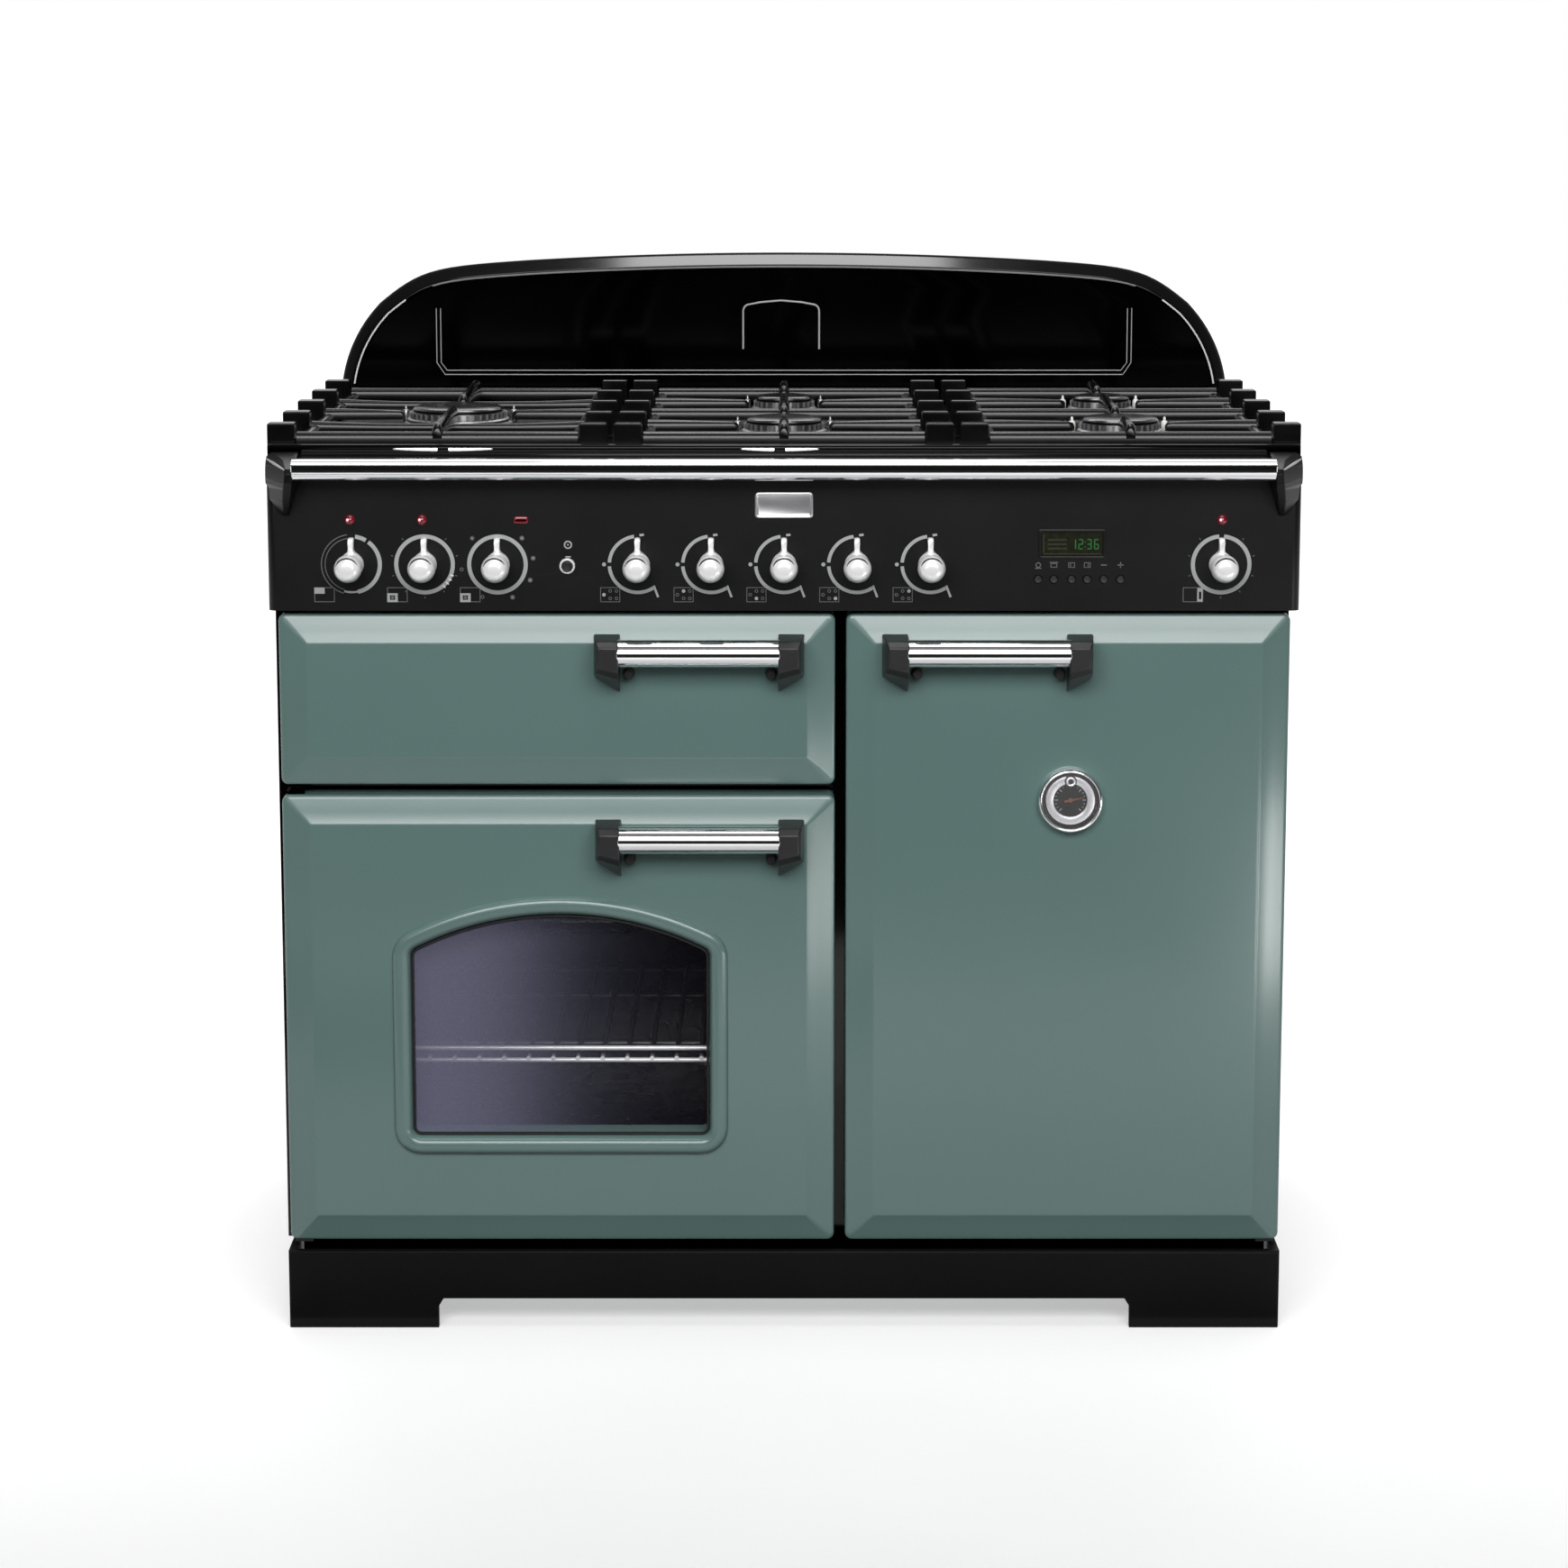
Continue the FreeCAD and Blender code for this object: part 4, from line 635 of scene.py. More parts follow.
def pan_support(which, xc, gaps):
    body = which + "_pan_support"
    xa, xb = xc - 0.163, xc + 0.163
    rows = (-0.257, -0.144, -0.031, 0.082, 0.195)
    parts = []
    for y in rows:
        if y in gaps:
            g = gaps[y]
            for e, s_ in ((xa, 1), (xb, -1)):
                x0, x1 = e + s_ * 0.028, xc - s_ * g
                d = x1 - x0
                parts.append(dome_bar([(x0, y, 0.8902, 1.0), (x0 + d * 0.25, y, 0.8900, 0.95), (x0 + d * 0.6, y, 0.8892, 0.70),
                                       (x1 - s_ * 0.006, y, 0.8884, 0.50), (x1 - s_ * 0.0015, y, 0.8872, 0.42), (x1, y, 0.8845, 0.32)],
                                      0.0124, 0.8790, body))
        elif y in (rows[0], rows[-1], -0.031):
            parts.append(dome_bar([(xa + 0.028, y, 0.8902, 1.0), (xc, y, 0.8902, 1.0), (xb - 0.028, y, 0.8902, 1.0)], 0.0124, 0.8790, body))
        else:
            parts.append(dome_bar([(xa + 0.028, y, 0.8890, 0.95), (xa + 0.055, y, 0.8878, 0.80), (xa + 0.090, y, 0.8866, 0.66), (xc, y, 0.8862, 0.62),
                                   (xb - 0.090, y, 0.8866, 0.66), (xb - 0.055, y, 0.8878, 0.80), (xb - 0.028, y, 0.8890, 0.95)],
                                  0.0124, 0.8790, body))
        for e, s_ in ((xa, 1), (xb, -1)):
            x0, x1 = sorted((e, e + s_ * 0.0262))
            parts.append(cast_block(x0, y - 0.008, 0.8755, x1, y + 0.008, 0.8990, 0.0018, body))
    for x in (xa + 0.031, xb - 0.031):
        parts.append(dome_bar([(x, rows[0] - 0.003, 0.8850, 1.0), (x, -0.031, 0.8850, 1.0), (x, rows[-1] + 0.003, 0.8850, 1.0)], 0.0120,
                              0.8762, body))
    # the raised spine, broken round each burner
    cuts = sorted((y - g, y + g) for y, g in gaps.items())
    start = -0.263
    for lo, hi in cuts + [(0.201, None)]:
        d = lo - start
        if d > 0.012:
            parts.append(dome_bar([(xc, start, 0.8935, 0.75), (xc, start + 0.003, 0.8975, 0.95), (xc, start + 0.007, 0.8990, 1.0),
                                   (xc, start + d / 2, 0.8990, 1.0), (xc, lo - 0.007, 0.8990, 1.0), (xc, lo - 0.003, 0.8975, 0.95),
                                   (xc, lo, 0.8935, 0.75)], 0.0120, 0.8790, body))
        start = hi
    for x, y in ((xa + 0.031, rows[0]), (xb - 0.031, rows[0]), (xa + 0.031, rows[-1]), (xb - 0.031, rows[-1]), (xc, rows[0]),
                 (xc, rows[-1])):
        if y == rows[0] and x == xc:
            continue
        parts.append(lathe("foot", [(0, 0.8742), (0.0042, 0.8742), (0.0050, 0.8750), (0.0050, 0.8800), (0, 0.8800)], M["cast"], body, "Z",
                           (x, y, 0), 24))
    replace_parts(join(parts, which + "_pan_support_cast"), body)


pan_support("left", -0.333, {-0.031: 0.055})
pan_support("centre", 0.0, {-0.144: 0.045, 0.082: 0.037})
pan_support("right", 0.333, {-0.144: 0.045, 0.082: 0.037})


def rim_bead(name, xc, half, s, gap=0.0055):
    """Half of a shallow lens-shaped swelling on the tray's front edge, given a bright polished finish that stands as a
    painted glint; the face leans back by 19 degrees.
    """
    c, s_ = cos(radians(19)), sin(radians(19))
    line = [gap + (half - gap) * i / 20 for i in range(21)]
    rings = []
    for g, y in ((1.0, 0.0), (0.96, -0.0006), (0.88, -0.0011), (0.6, -0.0014), (0.25, -0.0015)):
        top = [(u, 0.0031 * g * max(0.0, 1 - (u / half) ** 2) ** 0.9) for u in line]
        ring = [(gap + (u - gap) * (0.5 + 0.5 * g), w) for u, w in top] + [(gap + (u - gap) * (0.5 + 0.5 * g), -w) for u, w in reversed(top[:-1])]
        rings.append([(xc + s * u, -0.2786 + y * c + w * s_, 0.8758 + w * c - y * s_) for u, w in ring])
    v, f = rings_mesh(rings, cap_start=True, cap_end=True)
    return obj_from(name, v, f, M["bead"], "cabinet", True, 60)


# bright beads on the tray's front: painted glints
for where, xc, half in (("left", -0.326, 0.062), ("centre", -0.004, 0.048)):
    for s, side in ((-1, "a"), (1, "b")):
        rim_bead("tray_bead_%s_%s" % (where, side), xc, half, s)

# Black edge strips on the cabinet's sides, along their front edges
for side, s, out in (("left", -1, 0.4955), ("right", 1, 0.4920)):
    strip = [(0.4890, -0.2320), (0.4890, -0.2365), (out - 0.0008, -0.2365), (out, -0.2357), (out, -0.2240), (out - 0.0006, -0.2225),
             (0.4900, -0.2150), (0.4900, -0.2320)]
    v, f = rings_mesh([[(s * x, y, z) for x, y in strip] for z in (0.0800, 0.7180)], cap_start=True, cap_end=True)
    bevel(obj_from("cabinet_edge_" + side, v, f, M["gloss_black"], "cabinet", True, 30), 0.0003, 2, 40)
soften("hob_tray", 0.0012, 2, 40)
soften("plinth", 0.0016, 2, 40)
soften("control_panel", 0.0006, 2, 50)

# --------------------------------------------------------------------------
# Splashback: rolled rim, pressed frame lines and a bare arched panel; the light strips on the rim's inner edge, the
# frame's edges and the arch are painted highlights
# --------------------------------------------------------------------------
def arc3(a, b, c, n):
    """n points of the circle from a through b to c, without the first."""
    ax, az, bx, bz, cx, cz = *a, *b, *c
    d = 2 * (ax * (bz - cz) + bx * (cz - az) + cx * (az - bz))
    ux = ((ax * ax + az * az) * (bz - cz) + (bx * bx + bz * bz) * (cz - az) + (cx * cx + cz * cz) * (az - bz)) / d
    uz = ((ax * ax + az * az) * (cx - bx) + (bx * bx + bz * bz) * (ax - cx) + (cx * cx + cz * cz) * (bx - ax)) / d
    r = hypot(ax - ux, az - uz)
    a0, a1, a2 = (atan2(p[1] - uz, p[0] - ux) for p in (a, b, c))
    while a1 - a0 > pi: a1 -= 2 * pi
    while a1 - a0 < -pi: a1 += 2 * pi
    while a2 - a1 > pi: a2 -= 2 * pi
    while a2 - a1 < -pi: a2 += 2 * pi
    return [(ux + r * cos(a0 + (a2 - a0) * i / n), uz + r * sin(a0 + (a2 - a0) * i / n)) for i in range(1, n + 1)]


def offset(path, g, closed=False):
    """Path moved to its right by g, point by point along the mean normal."""
    out = []
    n = len(path)
    for i, (x, z) in enumerate(path):
        p = path[i - 1] if (i or closed) else path[i]
        q = path[(i + 1) % n] if (i < n - 1 or closed) else path[i]
        dx, dz = q[0] - p[0], q[1] - p[1]
        l = hypot(dx, dz) or 1.0
        out.append((x + g * dz / l, z - g * dx / l))
    return out


left_half = [(-0.493, 0.868), (-0.493, 0.877), (-0.493, 0.886)]
left_half += arc3((-0.493, 0.886), (-0.453, 0.970), (-0.380, 1.0145), 20)
over = left_half + arc3((-0.380, 1.0145), (0.0, 1.0294), (0.380, 1.0145), 40)
over += arc3((0.380, 1.0145), (0.453, 0.970), (0.493, 0.886), 20) + [(0.493, 0.877), (0.493, 0.868)]

for _ in range(10):
    over = [p if not (0.300 < abs(p[0]) < 0.445) else
            ((over[i - 1][0] + 2 * p[0] + over[i + 1][0]) / 4, (over[i - 1][1] + 2 * p[1] + over[i + 1][1]) / 4)
            for i, p in enumerate(over)]


def splash_ring(g, y):
    pts = offset(over, g)
    pts[0] = (pts[0][0], 0.868)
    pts[-1] = (pts[-1][0], 0.868)
    return [(x, y, z) for x, z in pts]


rim = [(0.0006, 0.3208), (0.0, 0.3202), (0.0, 0.3190), (0.0004, 0.3182), (0.0030, 0.3155), (0.0060, 0.3125), (0.0090, 0.3095),
       (0.0120, 0.3065), (0.0132, 0.3054), (0.0141, 0.3049), (0.0150, 0.3050), (0.0156, 0.3056), (0.0159, 0.3068), (0.0161, 0.3110),
       (0.0166, 0.3125), (0.0176, 0.3130)]
v, f = rings_mesh([splash_ring(g, y) for g, y in rim], cap_start=True, cap_end=True)
splash = obj_from("splashback_enamelled", v, f, M["rim_black"], "cabinet", True, 50)
splash.data.materials.append(M["deep_black"])
for p in splash.data.polygons:
    if all(splash.data.vertices[i].co.y > 0.3120 and splash.data.vertices[i].co.y < 0.3140 for i in p.vertices):
        p.material_index = 1
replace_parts(splash, "splashback")
# the rim's inner edge: light strips along it, a painted highlight
edge = offset(over, 0.0150)
lines = [p for p in edge if p[0] < -0.418 and p[1] > 0.884], [p for p in edge if abs(p[0]) < 0.392 and p[1] > 0.98], \
        [p for p in edge if p[0] > 0.418 and p[1] > 0.884]


def band(name, path, width, height, y0, mat, body, closed=False, edge=0.0012):
    """A raised flat strip along a path in the XZ plane, rounded at both edges and standing towards -Y."""
    prof = [(0.0, 0.0), (edge * 0.15, -height * 0.55), (edge * 0.5, -height * 0.88), (edge, -height),
            (width - edge, -height), (width - edge * 0.5, -height * 0.88), (width - edge * 0.15, -height * 0.55), (width, 0.0),
            (width, 0.0006), (0.0, 0.0006)]
    rows = [[(x, y0 + h, z) for x, z in offset(path, w - width / 2, closed)] for w, h in prof]
    cols = list(zip(*rows))
    if closed:
        cols.append(cols[0])
    v, f = rings_mesh([list(c) for c in cols], cap_start=not closed, cap_end=not closed)
    return obj_from(name, v, f, mat, body, True, 60)


def corner(cx, cz, r, a0, a1, n=8):
    return [(cx + r * cos(radians(a0 + (a1 - a0) * i / n)), cz + r * sin(radians(a0 + (a1 - a0) * i / n))) for i in range(n + 1)]


for i, path in enumerate(lines):
    band("splashback_rim_edge_%d" % (i + 1), path, 0.0020, 0.0004, 0.3052, M["edge_mid" if i == 1 else "edge_bright"], "cabinet", edge=0.0005)


def frame_line(g):
    """The pressed frame's outline grown by g, with slanted lower corners."""
    return [(-0.3840 - g, 0.968), (-0.3840 - g, 0.9075), (-0.3765 - g * 0.5, 0.8967 - g), (-0.19, 0.8967 - g), (0.0, 0.8967 - g),
            (0.19, 0.8967 - g), (0.3765 + g * 0.5, 0.8967 - g), (0.3840 + g, 0.9075), (0.3840 + g, 0.968)]


band("splashback_frame", frame_line(0.0), 0.0062, 0.0012, 0.3131, M["deep_black"], "cabinet", edge=0.0014)
# the frame's two edges: light strips as painted highlights
for i, g in enumerate((-0.0021, 0.0026)):
    band("splashback_frame_edge_%d" % (i + 1), frame_line(g), 0.0012, 0.0016, 0.3131, M["edge_light"], "cabinet", edge=0.0003)
# the arch's outline: a light strip as a painted highlight
arch_path = [(-0.0454, 0.9225), (-0.0454, 0.960)] + corner(-0.0374, 0.9645, 0.008, 180, 115)
arch_path += [(-0.026, 0.9745), (-0.0030, 0.9765), (0.020, 0.9745)] + corner(0.0311, 0.9645, 0.008, 65, 0) + [(0.0391, 0.960), (0.0391, 0.9225)]
band("splashback_arch", arch_path, 0.0022, 0.0014, 0.3131, M["edge_light"], "cabinet", edge=0.0006)

# --------------------------------------------------------------------------
# Printed marks on the control panel: thin raised ink
# --------------------------------------------------------------------------
class Ink:
    def __init__(self, y0, y1):
        self.v, self.f, self.y0, self.y1 = [], [], y0, y1

    def poly(self, pts):
        """A closed outline in XZ, as a thin slab."""
        n, b = len(pts), len(self.v)
        self.v += [(x, self.y0, z) for x, z in pts] + [(x, self.y1, z) for x, z in pts]
        self.f.append(tuple(range(b, b + n)))
        self.f.append(tuple(range(b + 2 * n - 1, b + n - 1, -1)))
        for i in range(n):
            j = (i + 1) % n
            self.f.append((b + i, b + n + i, b + n + j, b + j))

    def sector(self, x, z, r0, r1, a0, a1, step=4):
        """Ring sector by the clock: 0 is up and angles run clockwise."""
        n = max(1, int(abs(a1 - a0) / step))
        for i in range(n):
            p, q = (radians(a0 + (a1 - a0) * k / n) for k in (i, i + 1))
            self.poly([(x + r0 * sin(p), z + r0 * cos(p)), (x + r1 * sin(p), z + r1 * cos(p)),
                       (x + r1 * sin(q), z + r1 * cos(q)), (x + r0 * sin(q), z + r0 * cos(q))])

    def ring(self, x, z, r0, r1):
        self.sector(x, z, r0, r1, 0, 360, 6)

    def dot(self, x, z, r, n=16):
        self.poly([(x + r * cos(2 * pi * i / n), z + r * sin(2 * pi * i / n)) for i in range(n)])

    def rect(self, x0, z0, x1, z1):
        self.poly([(x0, z0), (x1, z0), (x1, z1), (x0, z1)])

    def frame(self, x0, z0, x1, z1, w):
        self.rect(x0, z0, x1, z0 + w)
        self.rect(x0, z1 - w, x1, z1)
        self.rect(x0, z0 + w, x0 + w, z1 - w)
        self.rect(x1 - w, z0 + w, x1, z1 - w)

    def line(self, x0, z0, x1, z1, w):
        dx, dz = x1 - x0, z1 - z0
        l = hypot(dx, dz)
        ox, oz = -dz / l * w / 2, dx / l * w / 2
        self.poly([(x0 + ox, z0 + oz), (x1 + ox, z1 + oz), (x1 - ox, z1 - oz), (x0 - ox, z0 - oz)])

    def make(self, name, mat, body):
        return obj_from(name, self.v, self.f, mat, body, False)


mark, dim_mark = Ink(-0.28216, -0.2818), Ink(-0.28212, -0.2818)
KZ = KNOB_Z
RO, RI = 0.0291, 0.0252
for name, x in KNOBS:
    ix, iz = x - 0.0265, 0.7352
    if name == "grill_knob":
        mark.sector(x, KZ, RI, RO, 8, 31)
        mark.sector(x, KZ, RI, RO, 37, 168)
        mark.sector(x, KZ, RI + 0.0008, RO - 0.0012, 168, 196)
        dim_mark.sector(x, KZ, RO - 0.0006, RO + 0.0003, 196, 352)
        dim_mark.sector(x, KZ, RI - 0.0002, RI + 0.0006, 196, 352)
        dim_mark.frame(ix - 0.0098, iz - 0.0072, ix + 0.0098, iz + 0.0072, 0.0007)
        mark.rect(ix - 0.0098, iz + 0.0010, ix + 0.0002, iz + 0.0068)
    elif "burner" in name:
        mark.sector(x, KZ, RI + 0.0003, RO - 0.0003, -213, -94)
        mark.sector(x, KZ, RI + 0.0003, RO - 0.0003, -86, -7)
        mark.line(x + 0.0154, KZ - 0.0206, x + 0.0196, KZ - 0.0318, 0.0021)
        mark.line(x + 0.0020, KZ + 0.0283, x + 0.0062, KZ + 0.0288, 0.0022)
        mark.dot(x - 0.0322, KZ, 0.0019)
        dim_mark.frame(ix - 0.0095, iz - 0.0072, ix + 0.0095, iz + 0.0072, 0.0006)
        which = name.replace("_burner_knob", "")
        for other, u, w in (("left", -0.0060, 0.0), ("centre_front", 0.0, -0.0036), ("centre_rear", 0.0, 0.0036),
                            ("right_front", 0.0060, -0.0036), ("right_rear", 0.0060, 0.0036)):
            if other == which:
                mark.dot(ix + u, iz + w, 0.0017)
            else:
                dim_mark.ring(ix + u, iz + w, 0.0010, 0.0016)
    else:
        gap = 5 if name == "right_oven_knob" else 0
        mark.sector(x, KZ, RI, RO, gap, 360 - gap)
        dim_mark.frame(ix - 0.0098, iz - 0.0072, ix + 0.0098, iz + 0.0072, 0.0007)
        if name == "right_oven_knob":
            mark.rect(ix + 0.0040, iz - 0.0066, ix + 0.0056, iz + 0.0066)
            mark.rect(ix + 0.0080, iz - 0.0066, ix + 0.0092, iz + 0.0066)
            mark.rect(ix + 0.0056, iz + 0.0030, ix + 0.0080, iz + 0.0066)
            mark.rect(ix + 0.0056, iz - 0.0066, ix + 0.0080, iz - 0.0044)
        else:
            mark.rect(ix - 0.0098, iz - 0.0072, ix - 0.0072, iz + 0.0014)
            mark.rect(ix - 0.0022, iz - 0.0072, ix + 0.0004, iz + 0.0014)
            mark.rect(ix - 0.0072, iz - 0.0006, ix - 0.0022, iz + 0.0014)
            mark.rect(ix - 0.0072, iz - 0.0072, ix - 0.0022, iz - 0.0050)
            dim_mark.dot(ix - 0.0047, iz - 0.0028, 0.0016)
    if name == "left_oven_function_knob":
        for a in (-43, 43, 80, 116, 156):
            s_, c = sin(radians(a)), cos(radians(a))
            dim_mark.ring(x + 0.0348 * s_, KZ + 0.0348 * c, 0.0011, 0.0022)
            mark.dot(x + 0.0348 * s_, KZ + 0.0348 * c, 0.0008)
        for a in (205, 262, 318):
            s_, c = sin(radians(a)), cos(radians(a))
            dim_mark.ring(x + 0.0348 * s_, KZ + 0.0348 * c, 0.0010, 0.0018)
    if name in ("left_oven_knob", "right_oven_knob"):
        for a in range(40, 321, 35):
            s_, c = sin(radians(a)), cos(radians(a))
            dim_mark.line(x + 0.0312 * s_, KZ + 0.0312 * c, x + 0.0330 * s_, KZ + 0.0330 * c, 0.0008)
# Lamp sign over the light button
mark.ring(-0.2072, 0.7836, 0.0026, 0.0040)
mark.dot(-0.2072, 0.7836, 0.0009)
mark.rect(-0.2098, 0.7714, -0.2046, 0.7726)
# Signs over the timer keys: bell, pan, cook time, end time, less, more
KEY_X = [0.244, 0.259, 0.276, 0.291, 0.307, 0.323]
kz = 0.7640
dim_mark.ring(KEY_X[0], kz, 0.0018, 0.0026)
dim_mark.line(KEY_X[0] - 0.003, kz - 0.0032, KEY_X[0] + 0.003, kz - 0.0032, 0.0008)
dim_mark.frame(KEY_X[1] - 0.0032, kz - 0.0024, KEY_X[1] + 0.0032, kz + 0.0018, 0.0007)
dim_mark.line(KEY_X[1] - 0.0042, kz + 0.0026, KEY_X[1] + 0.0042, kz + 0.0026, 0.0008)
for k in (2, 3):
    dim_mark.frame(KEY_X[k] - 0.0032, kz - 0.0026, KEY_X[k] + 0.0032, kz + 0.0026, 0.0007)
    dim_mark.line(KEY_X[k] + (0.001 if k == 3 else -0.001), kz - 0.0026, KEY_X[k] + (0.001 if k == 3 else -0.001), kz + 0.0026, 0.0007)
dim_mark.line(KEY_X[4] - 0.0028, kz, KEY_X[4] + 0.0028, kz, 0.0011)
dim_mark.line(KEY_X[5] - 0.0028, kz, KEY_X[5] + 0.0028, kz, 0.0011)
dim_mark.line(KEY_X[5], kz - 0.0028, KEY_X[5], kz + 0.0028, 0.0011)
mark.make("panel_marks", M["print"], "cabinet")
dim_mark.make("panel_marks_dim", M["print_dim"], "cabinet")
tick = Ink(-0.28222, -0.2819)
for a in (112, 121, 130, 139):
    s_, c = sin(radians(a)), cos(radians(a))
    tick.line(-0.345 + 0.0268 * s_, KZ + 0.0268 * c, -0.345 + 0.0300 * s_, KZ + 0.0300 * c, 0.0012)
tick.make("panel_ticks", M["ceramic"], "cabinet")

# --------------------------------------------------------------------------
# Clock: olive display in a dark bezel, green figures
# --------------------------------------------------------------------------
m, nt, b = shader("display_olive", (0.016, 0.018, 0.010), 0.2, spec=0.2)
n = noise(nt, 220, 2)
c = ramp(nt, n.outputs["Fac"], [(0.3, (0.012, 0.014, 0.008)), (0.7, (0.020, 0.022, 0.013))])
nt.links.new(c.outputs["Color"], b.inputs["Base Color"])
M["olive"] = m
v, f = rings_mesh([rrect(0.2472, 0.7727, 0.3058, 0.7958, 0.0008, -0.2804, 2), rrect(0.2472, 0.7727, 0.3058, 0.7958, 0.0008, -0.2810, 2),
                   rrect(0.2476, 0.7731, 0.3054, 0.7954, 0.0008, -0.2813, 2)], cap_start=True, cap_end=True)
obj_from("clock_display", v, f, M["olive"], "cabinet", False)
v, f = rings_mesh([rrect(0.2440 + g, 0.7697 + g, 0.3088 - g, 0.7988 - g, 0.0020 - 0.3 * g, y, 4) for g, y in
                   ((0.0, -0.2819), (0.0, -0.2826), (0.0004, -0.28295), (0.0024, -0.28295), (0.0030, -0.2825), (0.0031, -0.2815),
                    (0.0030, -0.2810))])
obj_from("clock_bezel", v, f, M["panel"], "cabinet", True, 40)
SEG = {"0": "abcdef", "1": "bc", "2": "abged", "3": "abgcd", "4": "fgbc", "5": "afgcd", "6": "afgecd", "7": "abc", "8": "abcdefg", "9": "abcdfg"}


def figure(ink, ch, x, z, w, h, t):
    for s_ in SEG[ch]:
        a = {"a": (x, z + h, x + w, z + h), "g": (x, z + h / 2, x + w, z + h / 2), "d": (x, z, x + w, z),
             "f": (x, z + h / 2, x, z + h), "e": (x, z, x, z + h / 2), "b": (x + w, z + h / 2, x + w, z + h),
             "c": (x + w, z, x + w, z + h / 2)}[s_]
        ink.line(*a, t)


digits = Ink(-0.28150, -0.28125)
for i, ch in enumerate("1236"):
    figure(digits, ch, 0.2760 + i * 0.0068 + (0.0014 if i > 1 else 0), 0.7796, 0.0036, 0.0090, 0.0011)
for w in (0.7816, 0.7862):
    digits.dot(0.2889, w, 0.0006, 8)
digits.make("clock_figures", M["digit"], "cabinet")
ghost = Ink(-0.28148, -0.28125)
for w in (0.7790, 0.7832, 0.7874):
    ghost.rect(0.2530, w, 0.2712, w + 0.0016)
ghost.rect(0.2490, 0.7742, 0.3040, 0.7752)
ghost.rect(0.2484, 0.7760, 0.2496, 0.7940)
m, nt, b = shader("display_ghost", (0.050, 0.052, 0.030), 0.4, spec=0.2)
n = noise(nt, 400, 2)
c = ramp(nt, n.outputs["Fac"], [(0.3, (0.026, 0.028, 0.015)), (0.7, (0.038, 0.040, 0.022))])
nt.links.new(c.outputs["Color"], b.inputs["Base Color"])
M["ghost"] = m
ghost.make("clock_bars", M["ghost"], "cabinet")

# --------------------------------------------------------------------------
# Light button bezel, plain plate over the middle knob
# --------------------------------------------------------------------------
lathe("light_button_bezel", [(0.0054, -0.2816), (0.0054, -0.2845), (0.0058, -0.2852), (0.0066, -0.2853), (0.0073, -0.2847),
                             (0.0076, -0.2836), (0.0077, -0.2816), (0.0054, -0.2816)], M["knob_chrome"], "cabinet", "Y",
      (-0.208, 0, 0.763), 40)
btn = lathe("light_button_cap", [(0, -0.2700), (0.0049, -0.2700), (0.0049, -0.2872), (0.0046, -0.2884), (0.0039, -0.2889),
                                 (0.0034, -0.2887), (0.0030, -0.2876), (0, -0.2874)], M["plastic"], "light_button", "Y",
            (-0.208, 0, 0.763), 32)
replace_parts(btn, "light_button")

plate = [rrect(-0.0280 + g, 0.8095 + g, 0.0280 - g, 0.8345 - g, 0.0035 - 0.5 * g, y, 5) for g, y in
         ((0.0, -0.2816), (0.0, -0.2838), (0.0003, -0.2846), (0.0009, -0.2850), (0.0019, -0.2850), (0.0025, -0.2846),
          (0.0029, -0.2840), (0.0034, -0.2838))]
v, f = rings_mesh(plate, cap_start=True, cap_end=True)
obj_from("plain_plate", v, f, M["satin_silver"], "cabinet", True, 40)

# Neon lenses: low red domes, and one flat bar; behind three of them a glowing neon core set to the left, partly the
# lamp's glow and partly a painted glint
for i, x in enumerate((-0.416, -0.347, -0.252, 0.420)):
    if i == 2:
        v, f = rings_mesh([rrect(x - 0.0070 + g, 0.8040 + g, x + 0.0070 - g, 0.8110 - g, 0.0022, y, 5) for g, y in
                           ((0.0, -0.2814), (0.0, -0.2830), (0.0003, -0.2836), (0.0010, -0.2840), (0.0022, -0.2841))],
                          cap_start=True, cap_end=True)
        p = obj_from("neon_lens_3", v, f, M["red"], "cabinet", True, 50)
    else:
        p = lathe("neon_lens_%d" % (i + 1), [(0, -0.2814), (0.0052, -0.2814), (0.0052, -0.2822), (0.0046, -0.2836), (0.0034, -0.2849),
                                             (0.0018, -0.2859), (0, -0.2862)], M["red"], "cabinet", "Y", (x, 0, 0.8075), 36, 60)
    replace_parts(p, "indicator_lenses")
    if i != 2:
        lathe("neon_core_glint_%d" % (i + 1), [(0, -0.2840), (0.0016, -0.2840), (0.0017, -0.2848), (0.0013, -0.2858), (0.0007, -0.2863),
                                         (0, -0.2864)], M["neon"], "cabinet", "Y", (x - 0.0016, 0, 0.8079), 20, 60)

# Timer keys: low black buttons
for i, x in enumerate(KEY_X):
    p = lathe("timer_key_cap_%d" % (i + 1), [(0, -0.2760), (0.0039, -0.2760), (0.0039, -0.2826), (0.0037, -0.2832), (0.0032, -0.2836),
                                             (0.0022, -0.2836), (0.0012, -0.2834), (0, -0.2833)], M["plastic"],
              "timer_key_%d" % (i + 1), "Y", (x, 0, 0.750), 28)
    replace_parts(p, "timer_key_%d" % (i + 1))

